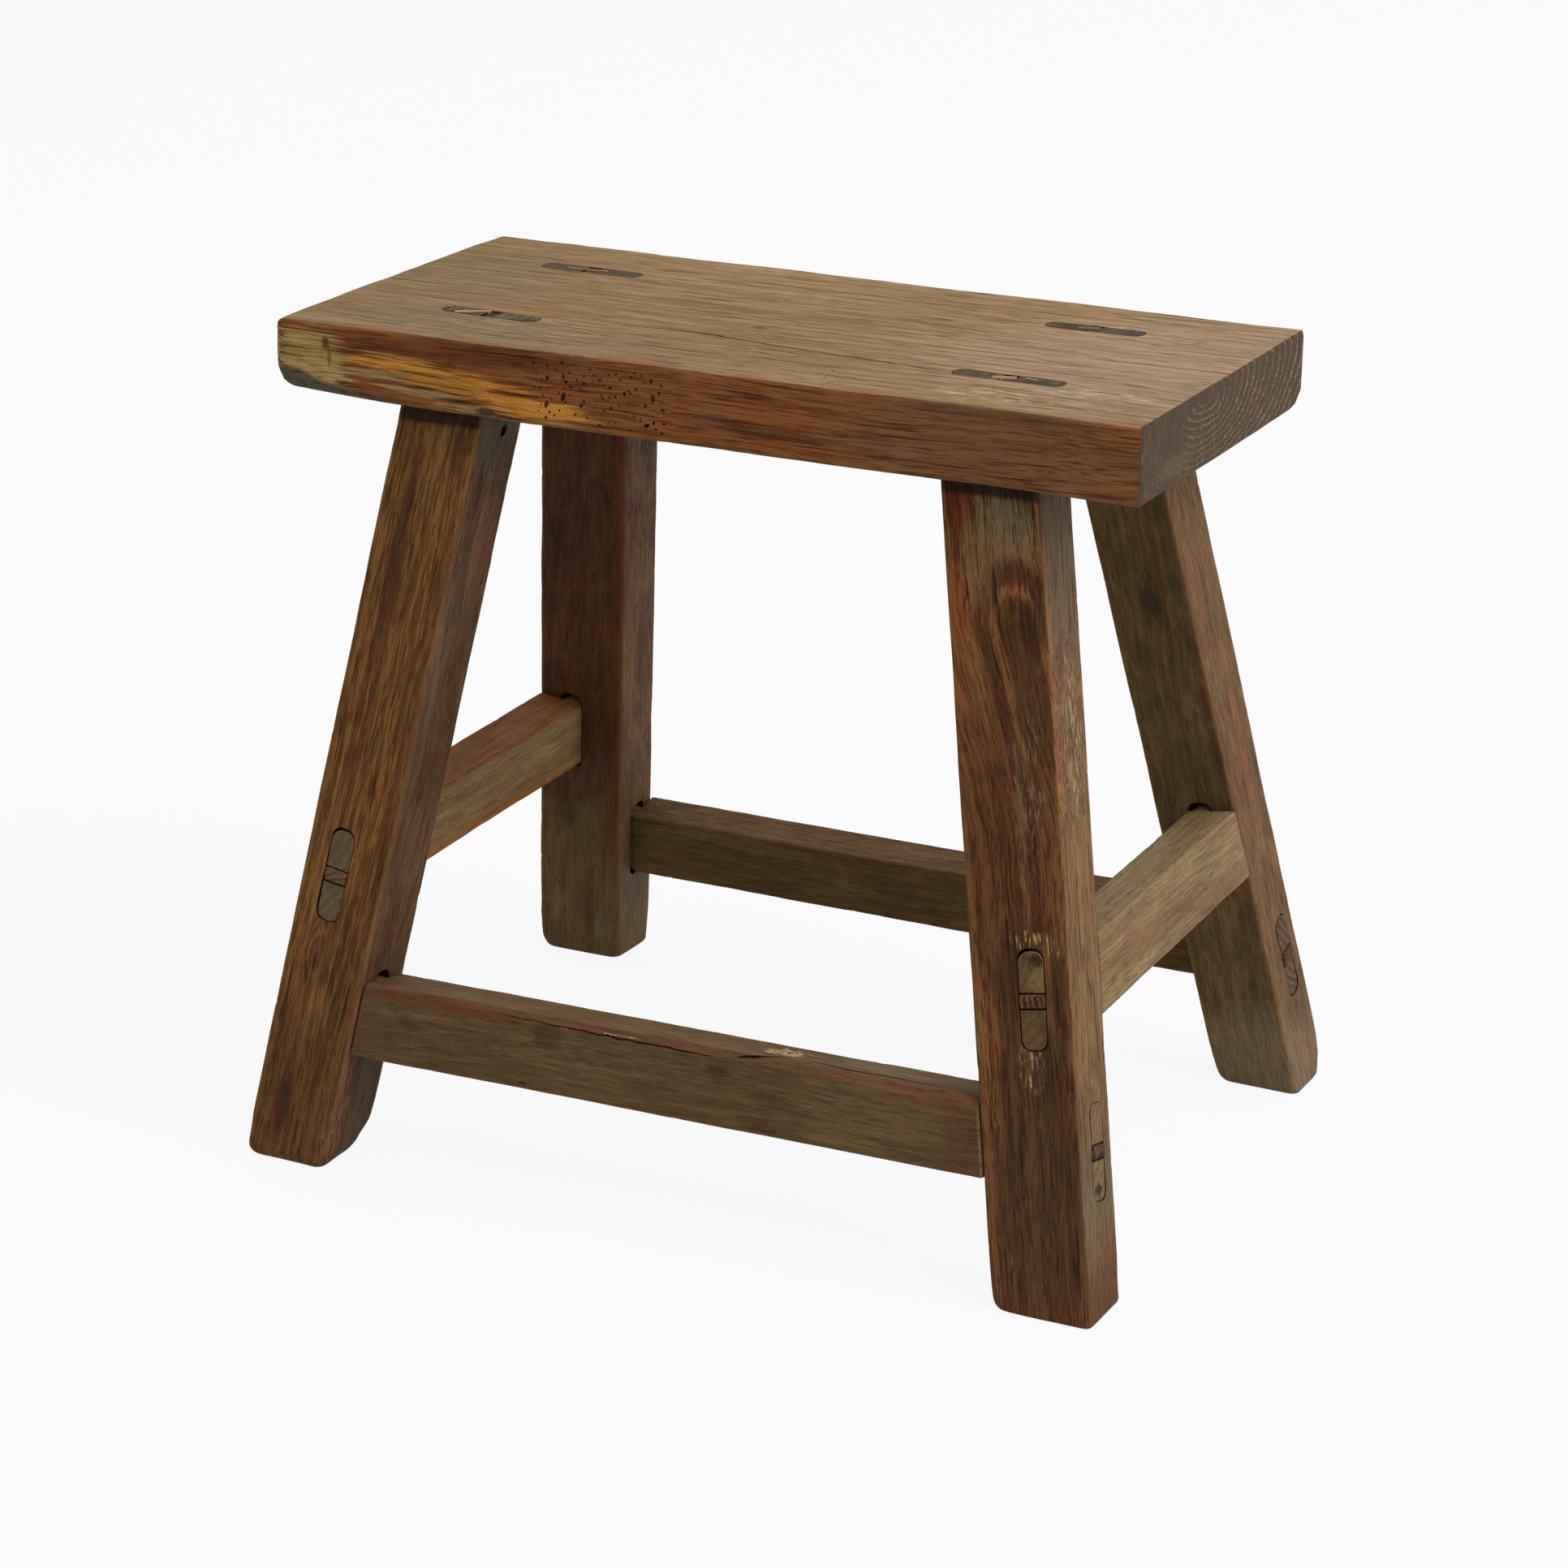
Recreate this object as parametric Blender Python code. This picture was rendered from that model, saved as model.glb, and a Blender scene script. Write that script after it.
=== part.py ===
# Elm stool: a plank seat on four splayed legs, tied together by four stretchers.
# Every joint is a through mortise and tenon, spread from outside by a driven wedge.
# Metres, +Z up. The seat runs along X, the front is -Y and the floor is z = 0.
import math

import bmesh
import bpy
from mathutils import Matrix, Vector

# Seat plank
seat_height = 0.460
seat_length = 0.501
seat_width = 0.224
seat_thickness = 0.040
seat_corner_ease = 0.009
seat_arris_ease = 0.0016
# Where the plank's four corners really stand, as shares of half its length and width
seat_corner_shares = ((-1.025, -1.014), (0.996, -1.026), (0.995, 0.966), (-1.004, 1.000))

# Bark edge left on the plank's lower arris: front left, and a smaller one at the back right
front_wane_length = 0.135
front_wane_height = 0.020
front_wane_depth = 0.014
back_wane_length = 0.060
back_wane_height = 0.013
back_wane_depth = 0.016

# Legs: their shoulders are set in from the seat's ends and sides, and their feet splay out from there
leg_width = 0.0530
leg_depth = 0.0420
leg_end_inset = 0.0910
leg_side_inset = 0.0402
leg_end_splay = 0.0665
leg_side_splay = 0.0962
leg_arris_ease = 0.0028
foot_wear = 0.0050

# Stretchers: the long ones run low along the front and back, the short ones higher across the ends
long_stretcher_level = 0.0870
short_stretcher_level = 0.1645
long_stretcher_height = 0.0415
short_stretcher_height = 0.0415
front_stretcher_thickness = 0.0410
back_stretcher_thickness = 0.0245
left_stretcher_thickness = 0.0280
right_stretcher_thickness = 0.0290
stretcher_arris_ease = 0.0018
# Worn slope along the front stretcher's upper front arris, wider towards the right
worn_arris_left = 0.0022
worn_arris_right = 0.0058

# Joints
fit_gap = 0.0003
seat_mortise_width = 0.0125
leg_mortise_width = 0.0152
mortise_corner = 0.0058
seat_wedge_thickness = 0.0080
stretcher_wedge_thickness = 0.0090
saw_cut = 0.0009
shoulder_relief = 0.0007
seat_tenon_recess = 0.0003
wedge_proud = 0.0006
flare_share = 0.10
kerf_root_share = 0.20
wedge_tip_share = 0.22
overrun = 0.006

# Corners and arrises are drawn as short curves, and an edge sharper than this stays crisp
curve_steps = 4
crisp_edge = math.radians(30)

# A hand-cut stool: each leg's own stance and section, as shares of the sizes above. foot and
# shoulder are their distances from the seat's middle. side is -1 on the left, end is -1 at the
# front, and lean is how far the tenon's end stands towards the seat's middle, as shares of the
# leg's width and depth.
leg_shares = {
    "front_left_leg": {
        "side": -1, "end": -1, "foot_shares": (0.967, 1.018), "shoulder_shares": (1.007, 1.012),
        "section_shares": (0.985, 1.095), "lean_shares": (0.03, 0.18),
    },
    "front_right_leg": {
        "side": 1, "end": -1, "foot_shares": (1.034, 0.953), "shoulder_shares": (0.981, 0.992),
        "section_shares": (1.040, 0.920), "lean_shares": (-0.04, 0.18),
    },
    "back_left_leg": {
        "side": -1, "end": 1, "foot_shares": (1.002, 1.022), "shoulder_shares": (0.997, 1.018),
        "section_shares": (1.050, 0.926), "lean_shares": (-0.07, 0.11),
    },
    "back_right_leg": {
        "side": 1, "end": 1, "foot_shares": (0.996, 1.007), "shoulder_shares": (1.014, 0.975),
        "section_shares": (0.930, 1.058), "lean_shares": (0.12, 0.02),
    },
}

across_x, across_y, upright = Matrix.Identity(3)

# A long stretcher as deep as its legs has a shoulder on both sides of its tenon. The thinner
# ones are bare faced: their tenon lies in line with the inner face and is shouldered outside.
stretchers = {
    "front_stretcher": {
        "legs": ("front_left_leg", "front_right_leg"), "outward": -across_y,
        "level": long_stretcher_level, "height": long_stretcher_height,
        "thickness": front_stretcher_thickness, "bare_faced": False,
    },
    "back_stretcher": {
        "legs": ("back_left_leg", "back_right_leg"), "outward": across_y,
        "level": long_stretcher_level, "height": long_stretcher_height,
        "thickness": back_stretcher_thickness, "bare_faced": True,
    },
    "left_stretcher": {
        "legs": ("front_left_leg", "back_left_leg"), "outward": -across_x,
        "level": short_stretcher_level, "height": short_stretcher_height,
        "thickness": left_stretcher_thickness, "bare_faced": True,
    },
    "right_stretcher": {
        "legs": ("front_right_leg", "back_right_leg"), "outward": across_x,
        "level": short_stretcher_level, "height": short_stretcher_height,
        "thickness": right_stretcher_thickness, "bare_faced": True,
    },
}

# Linear colour and roughness of each kind of piece
finishes = {
    "seat": ((0.33, 0.215, 0.118), 0.58),
    "front_left_leg": ((0.165, 0.098, 0.052), 0.62),
    "front_right_leg": ((0.130, 0.066, 0.034), 0.60),
    "back_left_leg": ((0.080, 0.048, 0.027), 0.66),
    "back_right_leg": ((0.120, 0.078, 0.040), 0.64),
    "front_stretcher": ((0.130, 0.090, 0.048), 0.66),
    "back_stretcher": ((0.115, 0.078, 0.042), 0.66),
    "left_stretcher": ((0.190, 0.125, 0.064), 0.64),
    "right_stretcher": ((0.225, 0.150, 0.080), 0.62),
    "wedge": ((0.105, 0.066, 0.036), 0.70),
}


def clear_scene():
    for old in list(bpy.data.objects):
        bpy.data.objects.remove(old, do_unlink=True)


def rectangle(centre, along, across, length, width):
    """Corners of a rectangle, in order round it."""
    turns = ((-1, -1), (1, -1), (1, 1), (-1, 1))
    return [centre + along * (i * length / 2) + across * (j * width / 2) for i, j in turns]


def softened(corners, cut):
    """The polygon's outline, each corner replaced by a curve that starts this far from it."""
    outline = []
    for i, corner in enumerate(corners):
        before = corners[i - 1]
        after = corners[(i + 1) % len(corners)]
        start = corner + (before - corner).normalized() * cut
        end = corner + (after - corner).normalized() * cut
        for step in range(curve_steps + 1):
            t = step / curve_steps
            outline.append(start * (1 - t) ** 2 + corner * (2 * t * (1 - t)) + end * t**2)
    return outline


def on_plane(point, direction, plane_point, normal):
    """Where a line through the point meets a plane."""
    return point + direction * ((plane_point - point).dot(normal) / direction.dot(normal))


def ring(outline, direction, plane_point, normal):
    """The outline, slid along the direction until it lies in a plane."""
    return [on_plane(point, direction, plane_point, normal) for point in outline]


def loft(rings):
    """A closed body through rings that have the same number of points."""
    mesh = bmesh.new()
    loops = [[mesh.verts.new(point) for point in points] for points in rings]
    count = len(loops[0])
    for near, far in zip(loops, loops[1:]):
        for i in range(count):
            j = (i + 1) % count
            mesh.faces.new((near[i], near[j], far[j], far[i]))
    mesh.faces.new(loops[0])
    mesh.faces.new(loops[-1])
    bmesh.ops.recalc_face_normals(mesh, faces=mesh.faces)
    return mesh


def slice_off(mesh, points, keep):
    """Cuts the body along the plane of three points and keeps the side that holds one point."""
    normal = (points[1] - points[0]).cross(points[2] - points[0]).normalized()
    if (keep - points[0]).dot(normal) > 0:
        normal = -normal
    everything = mesh.verts[:] + mesh.edges[:] + mesh.faces[:]
    cut = bmesh.ops.bisect_plane(
        mesh, geom=everything, plane_co=points[0], plane_no=normal, clear_outer=True
    )
    rim = [part for part in cut["geom_cut"] if isinstance(part, bmesh.types.BMEdge)]
    bmesh.ops.holes_fill(mesh, edges=rim)
    bmesh.ops.recalc_face_normals(mesh, faces=mesh.faces)


def elm(name, finish):
    """One plain wood finish."""
    colour, roughness = finishes[finish]
    material = bpy.data.materials.new(name + "_elm")
    material.use_nodes = True
    shader = material.node_tree.nodes["Principled BSDF"]
    shader.inputs["Base Color"].default_value = (*colour, 1)
    shader.inputs["Roughness"].default_value = roughness
    shader.inputs["Metallic"].default_value = 0
    return material


def piece(name, mesh, origin, finish=None):
    """An object for the body, with its origin at the given point. Without a finish it is a cutter."""
    bmesh.ops.translate(mesh, verts=mesh.verts, vec=-origin)
    data = bpy.data.meshes.new(name)
    mesh.to_mesh(data)
    mesh.free()
    made = bpy.data.objects.new(name, data)
    made.location = origin
    made.parent = stool
    bpy.context.scene.collection.objects.link(made)
    if finish:
        data.materials.append(elm(name, finish))
        data.shade_smooth()
        data.set_sharp_from_angle(angle=crisp_edge)
    else:
        made.hide_render = True
        made.display_type = "WIRE"
    return made


def combine(target, tool, operation):
    """A Boolean that stays on its object."""
    step = target.modifiers.new(tool.name, "BOOLEAN")
    step.operation = operation
    step.solver = "EXACT"
    step.object = tool


def wedged_joint(name, member, receiver, base, exit, normal, along, across, size, width, spread):
    """A through tenon on the member, its mortise in the receiver, and the wedge that spreads it.

    base and exit are the middle of the tenon on the receiver's two faces, which lie square to
    normal. The tenon is size long the way the wedge spreads it, and the mortise is width wide.
    """
    axis = (exit - base).normalized()
    tenon_width = width - 2 * fit_gap

    def section(length, thickness, cut, point):
        corners = rectangle(base, along, across, length, thickness)
        return ring(softened(corners, cut) if cut else corners, axis, point, normal)

    # The mortise is as long as the spread tenon
    mortise_length = size + spread + 2 * fit_gap
    slot = [
        section(mortise_length, width, mortise_corner, base - axis * overrun),
        section(mortise_length, width, mortise_corner, exit + axis * overrun),
    ]
    combine(receiver, piece(name + "_mortise", loft(slot), base), "DIFFERENCE")

    # The tenon keeps its size at first and flares on the way to its end
    end = exit - axis * (seat_tenon_recess if member.name in leg_shares else 0)
    tongue = [
        section(size, tenon_width, mortise_corner, base - axis * overrun),
        section(size, tenon_width, mortise_corner, base.lerp(exit, flare_share)),
        section(size + spread, tenon_width, mortise_corner, end),
    ]
    combine(member, piece(name + "_tenon", loft(tongue), base), "UNION")

    # The kerf opens from a saw cut at its root to the wedge and its clearance at the end
    root = base.lerp(exit, kerf_root_share)
    kerf_depth = (exit - root).length

    def kerf_opening(depth):
        return saw_cut + (spread + 2 * fit_gap - saw_cut) * depth / kerf_depth

    kerf = [
        section(kerf_opening(0), width, 0, root),
        section(kerf_opening(kerf_depth + overrun), width, 0, exit + axis * overrun),
    ]
    combine(member, piece(name + "_kerf", loft(kerf), base), "DIFFERENCE")

    # The wedge lies between the kerf's two cheeks and stops short of its root
    tip_depth = kerf_depth * wedge_tip_share
    head = end + axis * (0 if member.name in leg_shares else wedge_proud)
    sides = [
        section(kerf_opening(tip_depth) - 2 * fit_gap, tenon_width, 0, root + axis * tip_depth),
        section(spread, tenon_width, 0, head),
    ]
    piece(name + "_wedge", loft(sides), exit, "wedge")


def leg_layout():
    """Each leg's axis and section, from the driving sizes and its own shares."""
    from_middle_x = seat_length / 2 - leg_end_inset
    from_middle_y = seat_width / 2 - leg_side_inset
    layout = {}
    for name, shares in leg_shares.items():
        side = shares["side"]
        end = shares["end"]
        foot_x, foot_y = shares["foot_shares"]
        shoulder_x, shoulder_y = shares["shoulder_shares"]
        width_share, depth_share = shares["section_shares"]
        foot = Vector((
            side * (from_middle_x + leg_end_splay) * foot_x,
            end * (from_middle_y + leg_side_splay) * foot_y,
            0,
        ))
        shoulder = Vector((
            side * from_middle_x * shoulder_x,
            end * from_middle_y * shoulder_y,
            seat_height - seat_thickness,
        ))
        layout[name] = {
            "foot": foot, "shoulder": shoulder, "axis": (shoulder - foot).normalized(),
            "width": leg_width * width_share, "depth": leg_depth * depth_share,
        }
    return layout


def axis_point(leg, height):
    """The point of the leg's centre line at this height."""
    return leg["foot"] + leg["axis"] * (height / leg["axis"].z)


def reach(leg, way):
    """Half the leg's section along X or Y, as a step that way."""
    return way * ((leg["width"] if way.x else leg["depth"]) / 2)


def make_seat():
    corners = [
        Vector((x * seat_length / 2, y * seat_width / 2, 0)) for x, y in seat_corner_shares
    ]
    underside = seat_height - seat_thickness
    rings = []
    for height, drawn_in in (
        (underside, seat_arris_ease),
        (underside + seat_arris_ease, 0),
        (seat_height - seat_arris_ease, 0),
        (seat_height, seat_arris_ease),
    ):
        shrunk = [
            corner - Vector((math.copysign(drawn_in, corner.x), math.copysign(drawn_in, corner.y), 0))
            for corner in corners
        ]
        outline = softened(shrunk, seat_corner_ease - drawn_in)
        rings.append([point + upright * height for point in outline])
    mesh = loft(rings)
    front_left, _, back_right, _ = [corner + upright * underside for corner in corners]
    middle = upright * seat_height
    slice_off(mesh, (
        front_left + upright * front_wane_height,
        front_left + across_y * front_wane_depth,
        front_left + across_x * front_wane_length,
    ), middle)
    slice_off(mesh, (
        back_right + upright * back_wane_height,
        back_right - across_y * back_wane_depth,
        back_right - across_x * back_wane_length,
    ), middle)
    return piece("seat", mesh, upright * underside, "seat")


def make_leg(name, leg):
    top = seat_height - seat_thickness - fit_gap
    rings = []
    worn = [math.pi / 2 * step / curve_steps for step in range(curve_steps + 1)]
    profile = [(foot_wear * (1 - math.cos(turn)), foot_wear * (1 - math.sin(turn))) for turn in worn]
    for height, drawn_in in profile + [(top, 0)]:
        both_sides = 2 * drawn_in
        corners = rectangle(
            leg["foot"], across_x, across_y, leg["width"] - both_sides, leg["depth"] - both_sides
        )
        outline = softened(corners, leg_arris_ease)
        rings.append(ring(outline, leg["axis"], upright * height, upright))
    return piece(name, loft(rings), leg["foot"], name)


def join_leg_to_seat(name, leg, body, seat):
    shares = leg_shares[name]
    lean_x, lean_y = shares["lean_shares"]
    inward_x = -shares["side"] * lean_x * leg_width
    inward_y = -shares["end"] * lean_y * leg_depth
    base = axis_point(leg, seat_height - seat_thickness) + across_y * inward_y
    exit = axis_point(leg, seat_height) + across_y * inward_y + across_x * inward_x
    wedged_joint(
        name, body, seat, base, exit, upright, across_x, across_y,
        leg["width"] - 2 * shoulder_relief, seat_mortise_width, seat_wedge_thickness,
    )


def make_stretcher(name, size, legs, bodies):
    outward = size["outward"]
    near, far = [legs[leg] for leg in size["legs"]]
    starts = [axis_point(leg, size["level"]) + reach(leg, outward) for leg in (near, far)]
    run = (starts[1] - starts[0]).normalized()
    lean = near["axis"] + far["axis"]
    up = (lean - run * lean.dot(run)).normalized()
    inward = up.cross(run)
    if inward.dot(outward) > 0:
        inward = -inward

    # The body lies flush with the legs' outer faces, and its ends follow their inner faces
    forward = across_x if outward.y else across_y
    ends = []
    for leg, way in ((near, forward), (far, -forward)):
        centre = axis_point(leg, size["level"])
        normal = leg["axis"].cross(outward).normalized()
        ends.append((centre + reach(leg, way), centre - reach(leg, way), normal, way))
    middle = starts[0] + inward * (size["thickness"] / 2)
    corners = rectangle(middle, up, inward, size["height"], size["thickness"])
    outline = softened(corners, stretcher_arris_ease)
    mesh = loft([
        ring(outline, run, inner + way * fit_gap, normal) for inner, _, normal, way in ends
    ])
    if name == "front_stretcher":
        wear_front_arris(mesh, starts, up, inward, size["height"])
    body = piece(name, mesh, (starts[0] + starts[1]) / 2, name)

    # A bare-faced tenon's inner cheek is in line with the body's inner face
    width = leg_mortise_width
    from_outside = size["thickness"] / 2
    if size["bare_faced"]:
        from_outside = size["thickness"] - shoulder_relief - width / 2 + fit_gap
    core = starts[0] + inward * from_outside
    labels = ("left", "right") if outward.y else ("front", "back")
    for label, leg, (inner, outer, normal, _) in zip(labels, size["legs"], ends):
        base = on_plane(core, run, inner, normal)
        exit = on_plane(core, run, outer, normal)
        wedged_joint(
            name + "_" + label, body, bodies[leg], base, exit, normal, up, inward,
            size["height"] - 2 * shoulder_relief, width, stretcher_wedge_thickness,
        )


def wear_front_arris(mesh, starts, up, inward, height):
    """A worn slope that widens from the left end to the right one."""
    left, right = [start + up * (height / 2) for start in starts]
    slice_off(mesh, (
        left + inward * worn_arris_left,
        left - up * worn_arris_left,
        right + inward * worn_arris_right,
    ), (left + right) / 2 - up * height)


def plan_middle(legs):
    """The middle of the stool's outline on the floor plan: the feet and the seat together."""
    points = [Vector((x * seat_length / 2, y * seat_width / 2, 0)) for x, y in seat_corner_shares]
    for leg in legs.values():
        points += rectangle(leg["foot"], across_x, across_y, leg["width"], leg["depth"])
    xs = [point.x for point in points]
    ys = [point.y for point in points]
    return Vector(((min(xs) + max(xs)) / 2, (min(ys) + max(ys)) / 2, 0))


clear_scene()
legs = leg_layout()
stool = bpy.data.objects.new("elm_stool", None)
stool.location = -plan_middle(legs)
bpy.context.scene.collection.objects.link(stool)

seat = make_seat()
leg_bodies = {name: make_leg(name, leg) for name, leg in legs.items()}
for name, leg in legs.items():
    join_leg_to_seat(name, leg, leg_bodies[name], seat)
for name, size in stretchers.items():
    make_stretcher(name, size, legs, leg_bodies)
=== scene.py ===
import math

import bmesh
import bpy
from mathutils import Matrix, Vector


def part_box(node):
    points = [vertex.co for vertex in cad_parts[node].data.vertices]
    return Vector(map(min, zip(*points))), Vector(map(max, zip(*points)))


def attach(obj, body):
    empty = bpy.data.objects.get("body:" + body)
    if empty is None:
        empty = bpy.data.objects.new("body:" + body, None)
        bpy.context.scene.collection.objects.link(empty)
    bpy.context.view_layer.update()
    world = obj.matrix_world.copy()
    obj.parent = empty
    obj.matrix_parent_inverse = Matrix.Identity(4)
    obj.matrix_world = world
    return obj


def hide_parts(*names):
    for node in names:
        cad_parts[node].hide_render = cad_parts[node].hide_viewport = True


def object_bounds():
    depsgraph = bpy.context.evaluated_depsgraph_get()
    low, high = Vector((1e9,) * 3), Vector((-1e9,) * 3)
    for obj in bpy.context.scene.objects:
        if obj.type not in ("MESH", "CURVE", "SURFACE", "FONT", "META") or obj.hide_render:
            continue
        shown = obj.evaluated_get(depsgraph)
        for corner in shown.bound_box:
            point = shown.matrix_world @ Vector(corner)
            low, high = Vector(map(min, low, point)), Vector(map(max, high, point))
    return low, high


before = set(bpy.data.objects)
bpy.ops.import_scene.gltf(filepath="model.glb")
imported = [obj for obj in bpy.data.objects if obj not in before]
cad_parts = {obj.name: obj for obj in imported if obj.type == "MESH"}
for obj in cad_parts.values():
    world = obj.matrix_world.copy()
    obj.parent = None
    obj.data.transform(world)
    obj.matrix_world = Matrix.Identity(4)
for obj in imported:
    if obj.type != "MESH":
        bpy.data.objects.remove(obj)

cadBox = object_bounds()  # the CAD model's box, before anything is added

xAxis = Vector((1, 0, 0))
yAxis = Vector((0, 1, 0))
zAxis = Vector((0, 0, 1))
stool = Vector((-0.0022, 0.0013, 0))  # where the camera's own origin lies in the frame


# One socket of a node tree. Its operators add Math nodes, or Vector Math nodes where it is a vector
class Wire:
    def __init__(self, tree, socket):
        self.tree = tree
        self.socket = socket

    def isVector(self):
        return self.socket.type in ("VECTOR", "RGBA")

    def math(self, operation, other=None, third=None):
        if self.isVector():
            return self.vectorMath(operation, other)
        values = {0: self, 1: other, 2: third}
        return addNode(self.tree, "ShaderNodeMath", {"operation": operation}, values)

    def vectorMath(self, operation, other=None):
        single = isinstance(other, (int, float)) or (isinstance(other, Wire) and not other.isVector())
        if single and operation == "DIVIDE":
            other = 1 / other
            operation = "MULTIPLY"
        if single and operation == "MULTIPLY":
            scaled = {0: self, "Scale": other}
            return addNode(self.tree, "ShaderNodeVectorMath", {"operation": "SCALE"}, scaled)
        if isinstance(other, (int, float)):
            other = (other, other, other)
        output = 1 if operation in ("DOT_PRODUCT", "LENGTH") else 0
        values = {0: self, 1: other}
        return addNode(self.tree, "ShaderNodeVectorMath", {"operation": operation}, values, output)

    def flipped(self, operation, other):
        values = {0: other, 1: self}
        kind = "ShaderNodeMath"
        if self.isVector():
            kind = "ShaderNodeVectorMath"
            values[0] = (other, other, other) if isinstance(other, (int, float)) else other
        return addNode(self.tree, kind, {"operation": operation}, values)

    def __add__(self, other):
        return self.math("ADD", other)

    def __radd__(self, other):
        return self.math("ADD", other)

    def __sub__(self, other):
        return self.math("SUBTRACT", other)

    def __rsub__(self, other):
        return self.flipped("SUBTRACT", other)

    def __mul__(self, other):
        return self.math("MULTIPLY", other)

    def __rmul__(self, other):
        return self.math("MULTIPLY", other)

    def __truediv__(self, other):
        return self.math("DIVIDE", other)

    def __rtruediv__(self, other):
        return self.flipped("DIVIDE", other)

    def __neg__(self):
        return self * -1

    def atLeast(self, other):
        return self.math("MAXIMUM", other)

    def atMost(self, other):
        return self.math("MINIMUM", other)

    def part(self, axis):
        return addNode(self.tree, "ShaderNodeSeparateXYZ", None, {0: self}, axis)

    # 0 below low and 1 above high, or the other way round where low is the larger
    def rise(self, low, high):
        values = {"Value": self, "From Min": low, "From Max": high}
        return addNode(self.tree, "ShaderNodeMapRange", {"interpolation_type": "SMOOTHSTEP"}, values)


# The one way in which every node is made: its type, its settings, then its sockets' values or links
def addNode(tree, kind, settings=None, inputs=None, output=0):
    node = tree.nodes.new(kind)
    for name, value in (settings or {}).items():
        setattr(node, name, value)
    for name, value in (inputs or {}).items():
        if isinstance(value, Wire):
            tree.links.new(value.socket, node.inputs[name])
        elif value is not None:
            node.inputs[name].default_value = value
    return Wire(tree, node.outputs[output])


def joined(x, y, z):
    tree = next(value.tree for value in (x, y, z) if isinstance(value, Wire))
    return addNode(tree, "ShaderNodeCombineXYZ", None, {0: x, 1: y, 2: z})


# Noise from 0 to 1 whose features have these sizes, in metres along each axis
def noise(place, sizes, seed, detail=2.0, roughness=0.5, output=0):
    stretched = place * tuple(1 / size for size in sizes)
    values = {"Vector": stretched, "W": seed, "Scale": 1.0, "Detail": detail, "Roughness": roughness}
    return addNode(place.tree, "ShaderNodeTexNoise", {"noise_dimensions": "4D"}, values, output)


def swaying(place, sizes, seed, detail=2.0, roughness=0.5):  # a vector, from -0.5 to 0.5 each way
    return noise(place, sizes, seed, detail, roughness, 1) - (0.5, 0.5, 0.5)


def newTree(name, sockets):
    tree = bpy.data.node_groups.new(name, "GeometryNodeTree")
    tree.interface.new_socket("Geometry", in_out="OUTPUT", socket_type="NodeSocketGeometry")
    for label, kind in sockets.items():
        tree.interface.new_socket(label, in_out="INPUT", socket_type="NodeSocket" + kind)
    entry = tree.nodes.new("NodeGroupInput")
    return tree, {label: Wire(tree, entry.outputs[label]) for label in sockets}


def closeTree(tree, geometry, material):
    real = addNode(tree, "GeometryNodeRealizeInstances", None, {0: geometry})
    coated = addNode(tree, "GeometryNodeSetMaterial", None, {"Geometry": real, "Material": material})
    out = tree.nodes.new("NodeGroupOutput")
    tree.links.new(coated.socket, out.inputs[0])
    return tree


# How large each unevenness of a timber is, in metres across, through and along it
uneven = {
    "wear": (0.03, 0.03, 0.035), "chip": (0.006, 0.006, 0.009), "end": (0.04, 0.04, 0.04),
    "wave": (0.09, 0.09, 0.07), "toolMark": (0.016, 0.016, 0.024), "wornFace": (0.02, 0.02, 0.03),
}


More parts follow.
